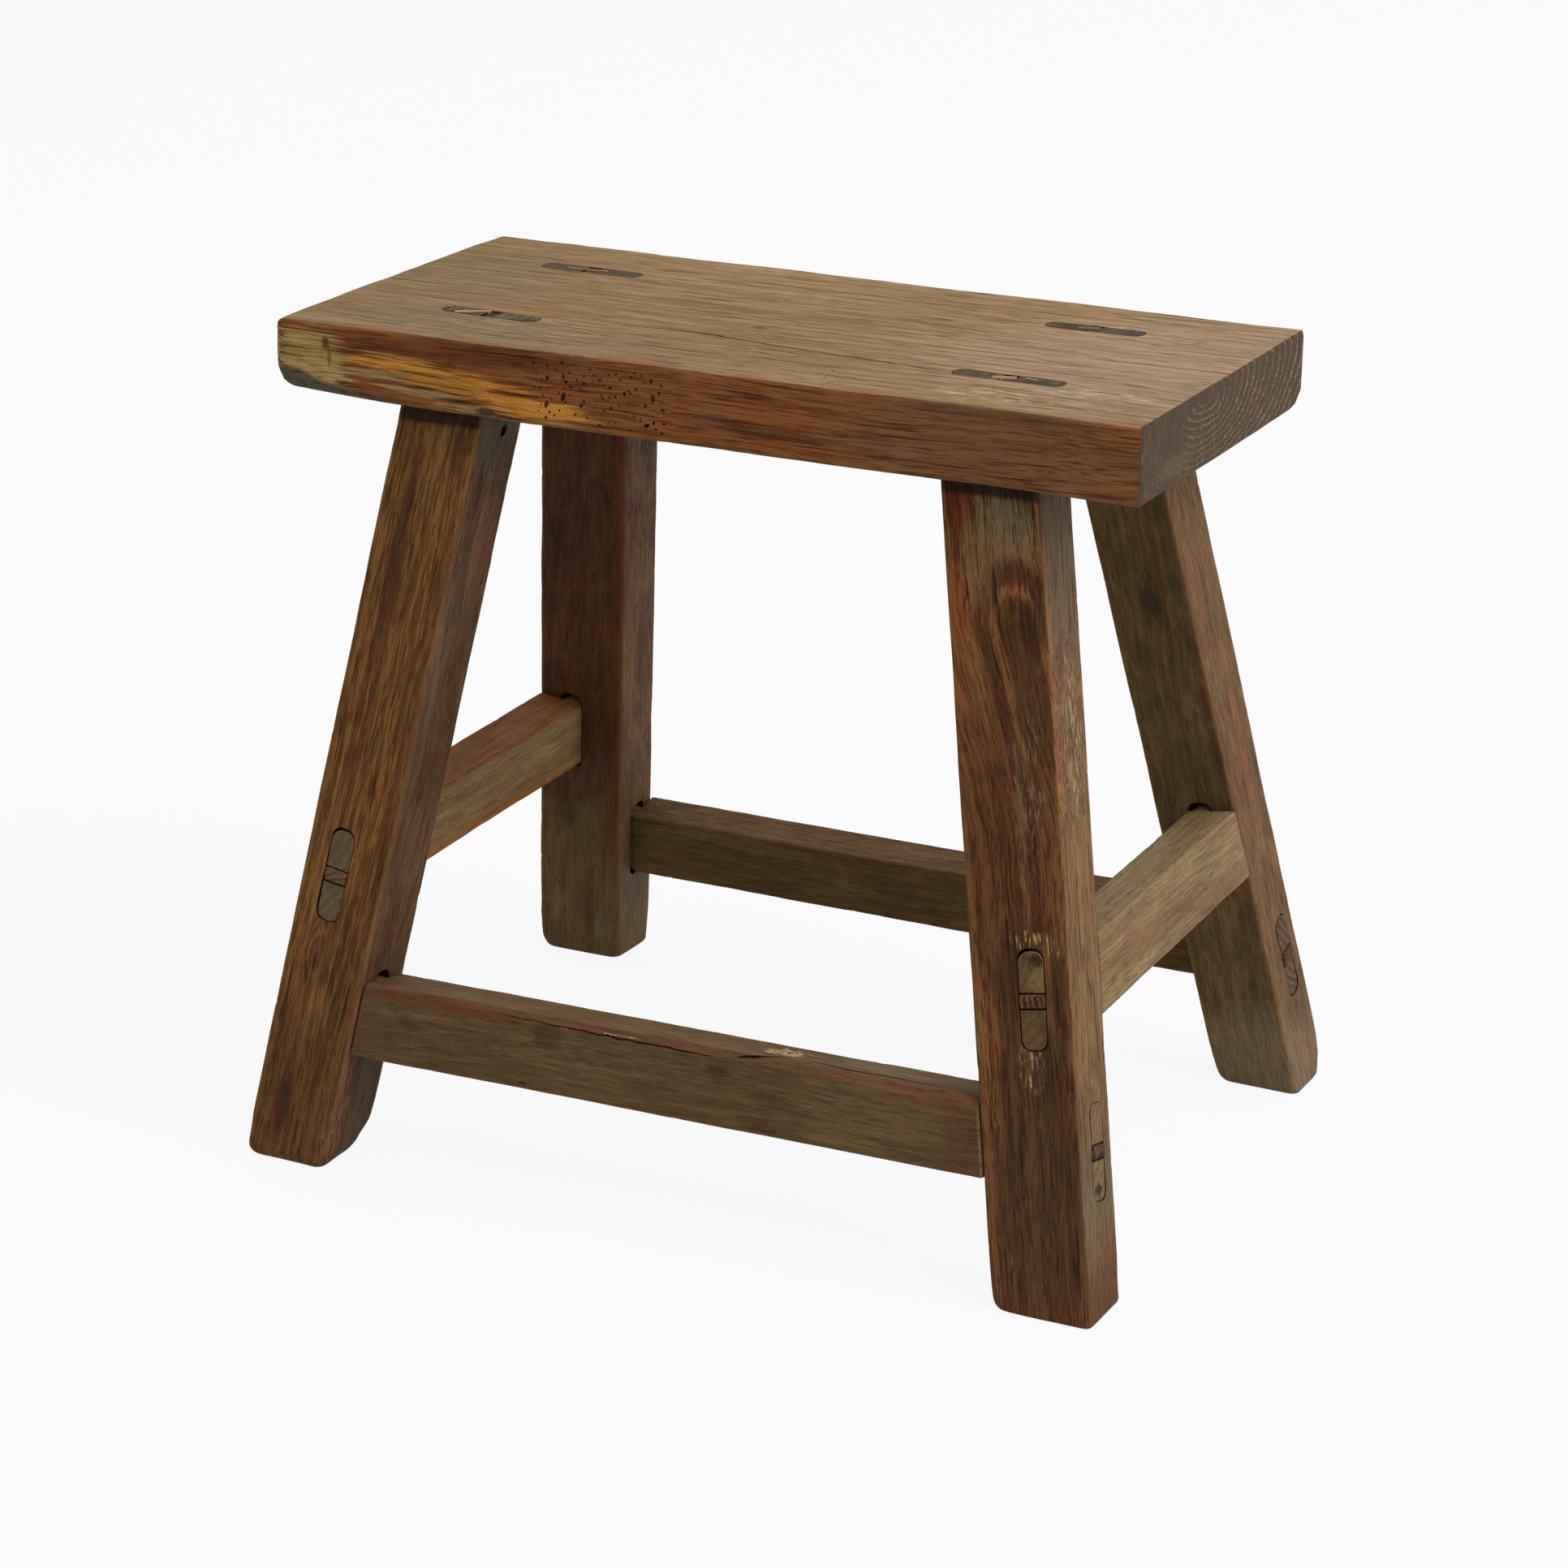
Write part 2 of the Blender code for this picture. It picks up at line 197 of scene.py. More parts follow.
# A squared timber: a dense block with worn arrises, laid along its own three directions
def makeTimberTree():
    tree, given = newTree("hewnTimber", {
        "Width": "Float", "Depth": "Float", "Length": "Float",
        "Rows across": "Int", "Rows through": "Int", "Rows along": "Int",
        "Arris": "Float", "Arris wear": "Float", "End wear": "Float", "End wear reach": "Float",
        "Low ease": "Float", "High ease": "Float", "Chips": "Float",
        "Wave": "Float", "Tool marks": "Float", "Taper": "Float",
        "Low slope": "Vector", "High slope": "Vector",
        "First worn point": "Vector", "First worn normal": "Vector",
        "Second worn point": "Vector", "Second worn normal": "Vector", "Worn roughness": "Float",
        "Worn softness": "Float",
        "Origin": "Vector", "Across": "Vector", "Through": "Vector", "Along": "Vector",
        "Seed": "Float", "Material": "Material",
    })
    size = {"Size": (2, 2, 2)}
    rows = {"Vertices X": "Rows across", "Vertices Y": "Rows through", "Vertices Z": "Rows along"}
    size.update({socket: given[label] for socket, label in rows.items()})
    block = addNode(tree, "GeometryNodeMeshCube", None, size)
    unit = addNode(tree, "GeometryNodeInputPosition")
    seed = given["Seed"]

    # The rows close up towards the arrises, where the curve is
    bunched = (unit * (math.pi / 2)).vectorMath("SINE")
    even = unit * (0.4, 0.4, 0.6) + bunched * (0.6, 0.6, 0.4)
    half = joined(given["Width"] / 2, given["Depth"] / 2, given["Length"] / 2)
    place = even * half

    # The arris's radius varies along the timber, grows towards its low end, and has small chips
    worn = noise(place, uneven["wear"], seed, 3.0, 0.6).rise(0.42, 0.85)
    chips = noise(place, uneven["chip"], seed + 5.5).rise(0.60, 0.72)
    height = place.part(2) + given["Length"] / 2
    nearFoot = (1 - height / given["End wear reach"]).atLeast(0.0)
    radius = given["Arris"] + given["Arris wear"] * worn + given["Chips"] * chips
    radius = radius + given["End wear"] * nearFoot
    core = joined(half.part(0) - radius, half.part(1) - radius, half.part(2))
    inner = place.vectorMath("MAXIMUM", core * -1.0).vectorMath("MINIMUM", core)
    beyond = place - inner
    outward = beyond.vectorMath("NORMALIZE")
    furthest = beyond.vectorMath("ABSOLUTE")  # equals the radius on the sides, less inside an end face
    place = inner + outward * furthest.part(0).atLeast(furthest.part(1))

    # Each end's own edge is rounded by drawing the section in
    share = noise(place, uneven["end"], seed + 8.2, 1.0) * 0.8 + 0.6
    for label, distance in (("Low ease", height), ("High ease", given["Length"] - height)):
        ease = given[label] * share
        inside = (ease - distance).atLeast(0.0)
        inset = ease - (ease * ease - inside * inside).math("SQRT")
        drawnIn = joined(1 - inset / half.part(0), 1 - inset / half.part(1), 1.0)
        place = place * drawnIn

    # Slow waves of the whole timber, and shallow marks of the tool on each face
    sway = swaying(place, uneven["wave"], seed + 3.1)
    marks = noise(place, uneven["toolMark"], seed + 7.7) - 0.5
    place = place + sway * (given["Wave"] * 2) + outward * (marks * given["Tool marks"] * 2)

    # Worn or waney planes, with a slightly rough face
    rough = (noise(place, uneven["wornFace"], seed + 1.9, 4.0, 0.6) - 0.5) * given["Worn roughness"]
    softness = given["Worn softness"]
    for which in ("First", "Second"):
        normal = given[which + " worn normal"]
        above = (place - given[which + " worn point"]).vectorMath("DOT_PRODUCT", normal) + rough
        soft = (above * above + softness * softness).math("SQRT")
        place = place - normal * ((above + soft) / 2)

    # Taper of the width, and ends that lean as the neighbours' faces do
    along = place.part(2) / given["Length"]
    across = place.part(0) * (given["Taper"] * along + 1)
    slope = given["Low slope"] * (0.5 - along) + given["High slope"] * (along + 0.5)
    lean = place.vectorMath("DOT_PRODUCT", slope)
    laid = given["Origin"] + given["Across"] * across + given["Through"] * place.part(1)
    laid = laid + given["Along"] * (place.part(2) + lean)
    moved = addNode(tree, "GeometryNodeSetPosition", None, {"Geometry": block, "Position": laid})
    return closeTree(tree, moved, given["Material"])


# Runs a tree on an empty mesh, or on the given object, and returns the result as a plain mesh
def grow(name, tree, values, host=None):
    host = host or bpy.data.objects.new(name + "_host", bpy.data.meshes.new(name + "_host"))
    if host.name not in bpy.context.scene.collection.objects:
        bpy.context.scene.collection.objects.link(host)
    modifier = host.modifiers.new("growth", "NODES")
    modifier.node_group = tree
    for item in tree.interface.items_tree:
        if item.item_type == "SOCKET" and item.in_out == "INPUT" and item.name in values:
            value = values[item.name]
            modifier[item.identifier] = tuple(value) if isinstance(value, Vector) else value
    bpy.context.view_layer.update()
    graph = bpy.context.evaluated_depsgraph_get()
    mesh = bpy.data.meshes.new_from_object(host.evaluated_get(graph), depsgraph=graph)
    host.modifiers.remove(modifier)
    bpy.data.objects.remove(host, do_unlink=True)
    made = bpy.data.objects.new(name, mesh)
    mesh.name = name
    bpy.context.scene.collection.objects.link(made)
    return made


timberTree = makeTimberTree()


def randomVector(tree, low, high, seed):
    values = {"Min": low, "Max": high, "Seed": seed}
    return addNode(tree, "FunctionNodeRandomValue", {"data_type": "FLOAT_VECTOR"}, values)


# Pits bored by worms: small lumps set over a face, which are then cut out of the timber
def makePitTree():
    tree, given = newTree("wormPits", {
        "Host": "Geometry", "Spacing": "Float", "Crowding": "Float", "Smallest": "Float", "Largest": "Float",
        "Seed": "Int", "Material": "Material",
    })
    scatter = addNode(tree, "GeometryNodeDistributePointsOnFaces", {"distribute_method": "POISSON"}, {
        "Distance Min": given["Spacing"], "Density Max": given["Crowding"], "Seed": given["Seed"],
        "Mesh": given["Host"],
    })
    lump = addNode(tree, "GeometryNodeMeshIcoSphere", None, {"Radius": 1.0, "Subdivisions": 2})
    turn = randomVector(tree, (0, 0, 0), (6.2, 6.2, 6.2), 8)
    low = joined(given["Smallest"] * 0.8, given["Smallest"] * 0.5, given["Smallest"])
    high = joined(given["Largest"] * 1.7, given["Largest"] * 0.9, given["Largest"] * 1.2)
    scale = randomVector(tree, low, high, 3)
    placed = addNode(tree, "GeometryNodeInstanceOnPoints", None, {
        "Points": scatter, "Instance": lump, "Rotation": turn, "Scale": scale,
    })
    return closeTree(tree, placed, given["Material"])


# A drying crack, as the thin blade that cuts it: a kite's section swept along a wavering line
def makeCrackTree():
    tree, given = newTree("dryingCrack", {
        "Host": "Geometry", "Width": "Float", "Depth": "Float", "Waver": "Float", "Step": "Float",
        "Seed": "Float", "Material": "Material",
    })
    spaced = {"Curve": given["Host"], "Length": given["Step"]}
    steps = addNode(tree, "GeometryNodeResampleCurve", {"mode": "LENGTH"}, spaced)
    place = addNode(tree, "GeometryNodeInputPosition")
    shake = swaying(place, (0.006, 0.006, 0.006), given["Seed"], 3.0, 0.6) * given["Waver"]
    wavy = addNode(tree, "GeometryNodeSetPosition", None, {"Geometry": steps, "Offset": shake * 2})
    upright = addNode(tree, "GeometryNodeSetCurveNormal", {"mode": "Z_UP"}, {0: wavy})
    share = addNode(tree, "GeometryNodeSplineParameter")
    taper = (share * (1 - share) * 4).math("SQRT") * 0.85 + 0.15
    blade = addNode(tree, "GeometryNodeCurvePrimitiveQuadrilateral", {"mode": "KITE"}, {
        "Width": given["Width"], "Bottom Height": given["Depth"], "Top Height": given["Depth"],
    })
    swept = addNode(tree, "GeometryNodeCurveToMesh", None, {
        "Curve": upright, "Profile Curve": blade, "Fill Caps": True, "Scale": taper,
    })
    return closeTree(tree, swept, given["Material"])


# Torn fibres: thin slivers that lie along a line on an arris, each a little lifted
def makeTornTree():
    tree, given = newTree("tornFibres", {
        "Host": "Geometry", "Step": "Float", "Thickness": "Float", "Length": "Float", "Spread": "Float",
        "Way": "Vector", "Seed": "Int", "Material": "Material",
    })
    spaced = {"Curve": given["Host"], "Length": given["Step"]}
    steps = addNode(tree, "GeometryNodeResampleCurve", {"mode": "LENGTH"}, spaced)
    seed = given["Seed"]
    shift = randomVector(tree, (-1, -1, -0.12), (1, 1, 0.08), seed + 1) * given["Spread"]
    moved = addNode(tree, "GeometryNodeSetPosition", None, {"Geometry": steps, "Offset": shift})
    way = given["Way"] + randomVector(tree, (-0.05, -0.06, -0.02), (0.05, 0.10, 0.05), seed + 2)
    turn = addNode(tree, "FunctionNodeAlignEulerToVector", {"axis": "Z"}, {"Vector": way})
    scale = randomVector(tree, (0.5, 0.5, 0.4), (1.2, 1.2, 1.3), seed + 3)
    sliver = addNode(tree, "GeometryNodeMeshCone", None, {
        "Vertices": 5, "Radius Top": 0.0, "Radius Bottom": given["Thickness"], "Depth": given["Length"],
    })
    placed = addNode(tree, "GeometryNodeInstanceOnPoints", None, {
        "Points": moved, "Instance": sliver, "Rotation": turn, "Scale": scale,
    })
    return closeTree(tree, placed, given["Material"])


pitTree = makePitTree()
crackTree = makeCrackTree()
tornTree = makeTornTree()


def lineHost(name, stations):
    curve = bpy.data.curves.new(name + "_host", "CURVE")
    curve.dimensions = "3D"
    line = curve.splines.new("POLY")
    line.points.add(len(stations) - 1)
    for point, station in zip(line.points, stations):
        point.co = (*station, 1)
    return bpy.data.objects.new(name + "_host", curve)


def crack(name, stations, width, depth, seed, material, waver=0.0014):
    values = {"Width": width, "Depth": depth, "Waver": waver, "Step": 0.003, "Seed": seed}
    return grow(name, crackTree, {**values, "Material": material}, lineHost(name, stations))


def torn(name, stations, given, material):
    return grow(name, tornTree, {**given, "Material": material}, lineHost(name, stations))


def pits(name, corners, given):
    mesh = bpy.data.meshes.new(name + "_host")
    mesh.from_pydata(corners, [], [(0, 1, 2, 3)])
    return grow(name, pitTree, given, bpy.data.objects.new(name + "_host", mesh))


# The middle and the three directions of a block. lay.inverse turns a direction into the block's own
class Lay:
    def __init__(self, origin, across, through, along):
        self.origin = origin
        self.across = across
        self.through = through
        self.along = along
        self.inverse = Matrix((across, through, along)).transposed().inverted()

    def slope(self, normal):  # how an end face with this normal leans across the block
        level = Vector((normal.dot(self.across), normal.dot(self.through), normal.dot(self.along)))
        return Vector((-level.x / level.z, -level.y / level.z, 0))


def hewn(name, lay, size, rows, given):
    values = {
        "Width": size[0], "Depth": size[1], "Length": size[2],
        "Rows across": rows[0], "Rows through": rows[1], "Rows along": rows[2],
        "Arris": 0.002, "Arris wear": 0.0, "End wear": 0.0, "End wear reach": 1.0,
        "Low ease": 0.0, "High ease": 0.0, "Chips": 0.0,
        "Wave": 0.0, "Tool marks": 0.0, "Taper": 0.0, "Seed": 0.0,
        "Worn roughness": 0.0, "Worn softness": 0.0018,
        "First worn point": (0, 0, 1), "First worn normal": (0, 0, 1),
        "Second worn point": (0, 0, 1), "Second worn normal": (0, 0, 1),
        "Low slope": (0, 0, 0), "High slope": (0, 0, 0),
        "Origin": lay.origin, "Across": lay.across, "Through": lay.through, "Along": lay.along,
    }
    return grow(name, timberTree, {**values, **given})


def wornPlanes(planes):  # the values of the sockets that take a timber's two worn planes
    values = {}
    for which, (point, normal) in zip(("First", "Second"), planes):
        values[which + " worn point"] = point
        values[which + " worn normal"] = normal
    return values


# Booleans, applied at once. The tools are removed
def carve(piece, tools, operation="DIFFERENCE"):
    for tool in tools:
        step = piece.modifiers.new(tool.name, "BOOLEAN")
        step.operation = operation
        step.solver = "MANIFOLD"
        step.material_mode = "TRANSFER"
        step.object = tool
    bpy.context.view_layer.update()
    graph = bpy.context.evaluated_depsgraph_get()
    mesh = bpy.data.meshes.new_from_object(piece.evaluated_get(graph), depsgraph=graph)
    piece.modifiers.clear()
    piece.data = mesh
    for tool in tools:
        bpy.data.objects.remove(tool, do_unlink=True)
    return piece


# Adds another mesh's shells, with their materials, to a piece
def joinInto(piece, extra):
    own = piece.data.materials
    places = []
    for material in extra.data.materials:
        if material and material.name not in own:
            own.append(material)
        places.append(list(own).index(material) if material else 0)
    both = bmesh.new()
    both.from_mesh(piece.data)
    count = len(both.faces)
    both.from_mesh(extra.data)
    both.faces.ensure_lookup_table()
    for face in both.faces[count:]:
        face.material_index = places[face.material_index]
    both.to_mesh(piece.data)
    both.free()
    bpy.data.objects.remove(extra, do_unlink=True)


def finished(piece, node):
    for vertex in piece.data.vertices:  # no ripple reaches past the solids' own box
        vertex.co = [min(max(vertex.co[i], cadBox[0][i]), cadBox[1][i]) for i in range(3)]
    piece.data.shade_smooth()
    piece.data.set_sharp_from_angle(angle=math.radians(38))
    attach(piece, "root")
    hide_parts(node)
    return piece


# How near to a plane a solid's point lies on it, for each plane that is read
reading = {"foot": 0.0001, "shoulder": 0.0006, "wedgeEnd": 0.0015, "seatTop": 0.003}


def points(node):
    return [vertex.co.copy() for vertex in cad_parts[node].data.vertices]


def middle(some):
    low = Vector([min(point[i] for point in some) for i in range(3)])
    high = Vector([max(point[i] for point in some) for i in range(3)])
    return (low + high) / 2


def extreme(node, direction):  # the middle of the node's points that lie furthest that way
    furthest = max(point.dot(direction) for point in points(node))
    return middle([p for p in points(node) if furthest - p.dot(direction) < reading["wedgeEnd"]])


def onPlane(point, direction, planePoint, normal):
    return point + direction * ((planePoint - point).dot(normal) / direction.dot(normal))


seatLow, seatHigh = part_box("seat")


# Each leg's line and section, read from its solid
def readLeg(node):
    foot = middle([p for p in points(node) if p.z < reading["foot"]])
    shoulder = [p for p in points(node) if abs(p.z - seatLow.z) < reading["shoulder"]]
    top = middle(shoulder)
    width = 2 * max(p.x - top.x for p in shoulder)
    depth = 2 * max(p.y - top.y for p in shoulder)
    along = (top - foot) / (top.z - foot.z)  # one metre of height
    return {"foot": foot, "top": top, "along": along, "width": width, "depth": depth}


legs = {
    node: readLeg(node)
    for node in ("front_left_leg", "front_right_leg", "back_left_leg", "back_right_leg")
}

camera = {
    "azimuth": 26.92184, "elevation": 19.08917, "distance": 2.40535, "aim": 0.23,
    "roll": 0.02241, "pitch": 0.72624, "yaw": -0.11927, "lens": 100.0955,
}


def makeCamera():
    azimuth = math.radians(camera["azimuth"])
    elevation = math.radians(camera["elevation"])
    level = math.cos(elevation)
    back = Vector((math.sin(azimuth) * level, -math.cos(azimuth) * level, math.sin(elevation)))
    right = (-back).cross(zAxis).normalized()
    up = right.cross(-back)
    turn = Matrix((right, up, back))
    for angle, axis in (("yaw", "Y"), ("pitch", "X"), ("roll", "Z")):
        turn = Matrix.Rotation(math.radians(camera[angle]), 3, axis) @ turn
    data = bpy.data.cameras.new("photoView")
    data.lens = camera["lens"]
    data.sensor_width = 36
    view = bpy.data.objects.new("photoView", data)
    place = stool + zAxis * camera["aim"] + back * camera["distance"]
    view.matrix_world = Matrix.Translation(place) @ turn.transposed().to_4x4()
    bpy.context.scene.collection.objects.link(view)
    bpy.context.scene.camera = view


# Plain studio light: a pale room all round, and one large soft lamp from the upper right
studio = {
    "roomStrength": 0.46, "keyPower": 320.0, "keySize": 4.6, "keyFrom": (5.6, -0.5, 4.8),
    "floorColour": (0.80, 0.80, 0.80), "floorGlow": 0.90, "floorSize": 40.0,
}


# 1 for the rays that show the background: from the camera, from gloss and through glass
def backdropRays(tree):
    kinds = ("Is Camera Ray", "Is Glossy Ray", "Is Transmission Ray")
    rays = [addNode(tree, "ShaderNodeLightPath", None, None, kind) for kind in kinds]
    return rays[0].atLeast(rays[1]).atLeast(rays[2])


# Ends a world's or a material's tree with one look for the backdrop's rays, and one for the light
def closeBackdrop(tree, kind, share, lit, seen):
    both = addNode(tree, "ShaderNodeMixShader", None, {0: share, 1: lit, 2: seen})
    tree.links.new(both.socket, tree.nodes.new(kind).inputs["Surface"])


def makeStudio():
    white = (1, 1, 1, 1)
    world = bpy.data.worlds.new("paleRoom")
    world.use_nodes = True
    tree = world.node_tree
    tree.nodes.clear()
    room = addNode(tree, "ShaderNodeBackground", None, {"Color": white, "Strength": studio["roomStrength"]})
    seen = addNode(tree, "ShaderNodeBackground", None, {"Color": white, "Strength": 1.0})
    closeBackdrop(tree, "ShaderNodeOutputWorld", backdropRays(tree), room, seen)
    bpy.context.scene.world = world

    lamp = bpy.data.lights.new("softKey", "AREA")
    lamp.energy = studio["keyPower"]
    lamp.size = studio["keySize"]
    key = bpy.data.objects.new("softKey", lamp)
    key.location = studio["keyFrom"]
    towards = zAxis * camera["aim"] - Vector(studio["keyFrom"])
    key.rotation_euler = towards.to_track_quat("-Z", "Y").to_euler()
    bpy.context.scene.collection.objects.link(key)

    reach = studio["floorSize"] / 2
    corners = [(-reach, -reach, 0), (reach, -reach, 0), (reach, reach, 0), (-reach, reach, 0)]
    mesh = bpy.data.meshes.new("paleFloor")
    mesh.from_pydata(corners, [], [(0, 1, 2, 3)])
    floor = bpy.data.objects.new("paleFloor", mesh)
    bpy.context.scene.collection.objects.link(floor)
    paint = bpy.data.materials.new("paleFloor")
    paint.use_nodes = True
    tree = paint.node_tree
    tree.nodes.clear()
    matt = addNode(tree, "ShaderNodeBsdfDiffuse", None, {"Color": (*studio["floorColour"], 1)})
    glow = addNode(tree, "ShaderNodeEmission", None, {"Color": white, "Strength": 1.0})
    closeBackdrop(tree, "ShaderNodeOutputMaterial", backdropRays(tree) * studio["floorGlow"], matt, glow)
    mesh.materials.append(paint)


# An sRGB colour in 0 to 255, as the shaders want it
def tint(red, green, blue):
    shares = [value / 255 for value in (red, green, blue)]
    return (*[s / 12.92 if s <= 0.04045 else ((s + 0.055) / 1.055) ** 2.4 for s in shares], 1)


def blend(factor, low, high):
    tree = factor.tree
    return addNode(tree, "ShaderNodeMix", {"data_type": "RGBA"}, {0: factor, 6: low, 7: high}, 2)


# A material, its shader, and the place on the piece that its patterns follow
def newMaterial(name, roughness, gloss):
    material = bpy.data.materials.new(name)
    material.use_nodes = True
    shader = material.node_tree.nodes["Principled BSDF"]
    shader.inputs["Roughness"].default_value = roughness
    shader.inputs["Specular IOR Level"].default_value = gloss
    return material, shader, addNode(material.node_tree, "ShaderNodeTexCoord", None, None, 3)


def feed(shader, wires):
    for name, wire in wires.items():
        wire.tree.links.new(wire.socket, shader.inputs[name])


# What every elm timber here shares. Sizes are in metres, across and through the grain and along it
elm = {
    "fibre": (0.0008, 0.0008, 0.017), "streak": (0.0021, 0.0021, 0.060), "tone": (0.012, 0.012, 0.120),
    "pore": (0.0007, 0.0007, 0.0080), "wander": (0.050, 0.050, 0.180), "wanderReach": 0.007,
    "stain": (0.028, 0.028, 0.045), "patch": (0.0045, 0.0045, 0.020), "scratch": (0.0016, 0.0016, 0.0100),
    "line": (0.0014, 0.0014, 0.034), "blotch": (0.009, 0.009, 0.022), "saw": (0.0016, 0.0120, 0.020),
    "colours": ("wood", "deep", "warm", "pale", "end", "endDeep", "dust", "edge"),
    "markDepth": 0.006, "roughness": 0.64, "gloss": 0.10, "bump": 0.75, "bumpDepth": 0.0008,
}

# A timber's colours, then how much each layer shows. Knots, marks and scuffs name a face of it, an
# offset across that face and a height from the low end; arches are grain that runs over a knot
elmLook = {
    "wood": (112, 84, 56), "deep": (62, 42, 27), "warm": (128, 78, 44), "pale": (150, 122, 88),
    "end": (112, 94, 68), "endDeep": (70, 56, 38), "dust": (120, 106, 82), "edge": (134, 98, 62),
    "faces": {}, "foot": ((90, 64, 42), 0.0, 0.1), "crownShadowAndDirt": ((28, 19, 13), 0.0, 0.0158), "grime": 0.28,
    "ringReach": None, "ringShape": (1.0, 1.0), "pith": (0.060, -0.080), "pithDrift": (0.05, 0.03),
    "lines": 0.30, "blotches": 0.20, "saw": 0.0, "wane": None,
    "ringSpacing": 0.0052, "rings": 0.08, "streaks": 0.38, "tones": 0.30, "cover": 0.0, "fibres": 0.80,
    "warmth": 0.45, "paleness": 0.30, "pores": 0.50, "mottle": 0.35, "dusting": 0.10, "edgeWear": 0.45,
    "endRings": 0.55, "stretch": 1.0, "knots": (), "arches": (), "marks": (), "scuffs": (), "seed": 1.0,
}


# Each kind of timber's faces: the direction across which it lies, and the side
faceSides = {
    "leg": {
        "left": (0, -1), "right": (0, 1), "front": (1, -1), "back": (1, 1), "foot": (2, -1), "head": (2, 1),
    },
    "stretcher": {
        "under": (0, -1), "top": (0, 1), "far": (1, -1), "near": (1, 1), "low": (2, -1), "high": (2, 1),
    },
    "seat": {
        "front": (0, -1), "back": (0, 1), "under": (1, -1), "top": (1, 1), "left": (2, -1), "right": (2, 1),
    },
}


# Where a mark lies in a timber's own directions. Its height is counted from the low end
def spotOn(size, side, offset, height):
    axis, sign = side
    spot = [offset, height, sign * size[2] / 2]
    if axis < 2:
        spot = [offset, offset, height - size[2] / 2]
        spot[axis] = sign * size[axis] / 2
    return tuple(spot)


def spotReach(side, wide, tall):
    reach = [wide, wide, tall] if side[0] < 2 else [wide, tall, 1.0]
    if side[0] < 2:
        reach[side[0]] = elm["markDepth"]
    return tuple(1 / value for value in reach)


def farFrom(q, size, side, offset, height, wide, tall):  # 1 at the edge of a mark of this size
    away = (q - spotOn(size, side, offset, height)) * spotReach(side, wide, tall)
    return away.vectorMath("LENGTH")


# The grain wanders slowly, parts around the knots, and arches over some
def grainField(q, look, sides, size):
    wander = swaying(q, elm["wander"], look["seed"]) * (2.0, 2.0, 0.0)
    grain = q + wander * elm["wanderReach"]
    lift = 0.0
    for face, offset, height, wide, tall, push in look["knots"]:
        hill = farFrom(q, size, sides[face], offset, height, wide, tall).rise(1.0, 0.0)
        grain = grain - (q - spotOn(size, sides[face], offset, height)) * (hill * 0.75)
        lift = hill * push + lift
    lean = 0.0
    rising = None
    arch = None
    for offset, height, wide, tall, slant in look["arches"]:
        rising = grain.part(2) - (height - size[2] / 2)
        lean = rising.atMost(0.0).atLeast(-0.1) * slant
        over = rising.atLeast(0.0) * (wide / tall)
        sideways = grain.part(0) + lean - offset
        arch = (sideways * sideways + over * over).math("SQRT") / wide
    grain = joined(grain.part(0) + lean, grain.part(1), grain.part(2)) * (1.0, 1.0, 1 / look["stretch"])
    return grain, lift, rising, arch


# What a timber's colour is made from: where the point lies, noise along the grain, and growth rings
class ElmLayers:
    def __init__(self, spot, lay, size, look, sides):
        self.look = look
        self.sides = sides
        self.size = size
        seed = look["seed"]
        self.colour = {key: tint(*look[key]) for key in elm["colours"]}

        # The point in the timber's own directions, and how far the surface faces along each
        fromOrigin = spot - tuple(lay.origin)
        q = joined(*[fromOrigin.vectorMath("DOT_PRODUCT", tuple(row)) for row in lay.inverse])
        normal = addNode(spot.tree, "ShaderNodeNewGeometry", None, None, 1)
        self.facing = [normal.vectorMath("DOT_PRODUCT", tuple(row.normalized())) for row in lay.inverse]
        self.fromLow = q.part(2) + size[2] / 2
        self.fromHigh = size[2] / 2 - q.part(2)

        grain, lift, self.rising, self.arch = grainField(q, look, sides, size)
        drift = joined(q.part(2) * look["pithDrift"][0], q.part(2) * look["pithDrift"][1], 0.0)
        self.fromPith = (grain - (*look["pith"], 0.0) - drift) * (1.0, 1.0, 0.0)
        radius = (self.fromPith * (*look["ringShape"], 0.0)).vectorMath("LENGTH") + lift
        self.streak = noise(grain, elm["streak"], seed + 5.1, 2.0, 0.55)
        self.tone = noise(grain, elm["tone"], seed + 9.7, 2.0, 0.55)
        self.stain = noise(q, elm["stain"], seed + 2.6, 4.0, 0.65)
        self.fibre = noise(grain, elm["fibre"], seed + 3.3, 2.0, 0.65)
        phase = ((radius + (self.streak - 0.5) * 0.004) / look["ringSpacing"]).math("FRACT")
        self.wave = phase.rise(0.0, 0.15) * phase.rise(1.0, 0.40)
        self.pores = (noise(grain, elm["pore"], seed + 12.4, 1.0) + self.wave * 0.05).rise(0.61, 0.70)
        self.q = q
        self.grain = grain

        named = {entry[0] for entry in look["marks"] + look["scuffs"]}
        self.onFace = {face: self.towards(sides[face], 0.30, 0.62) for face in sorted(named)}

    def towards(self, side, low, high):  # 1 where the surface looks that way
        axis, sign = side
        return (self.facing[axis] * sign).rise(low, high)

    def far(self, face, *place):
        return farFrom(self.q, self.size, self.sides[face], *place)


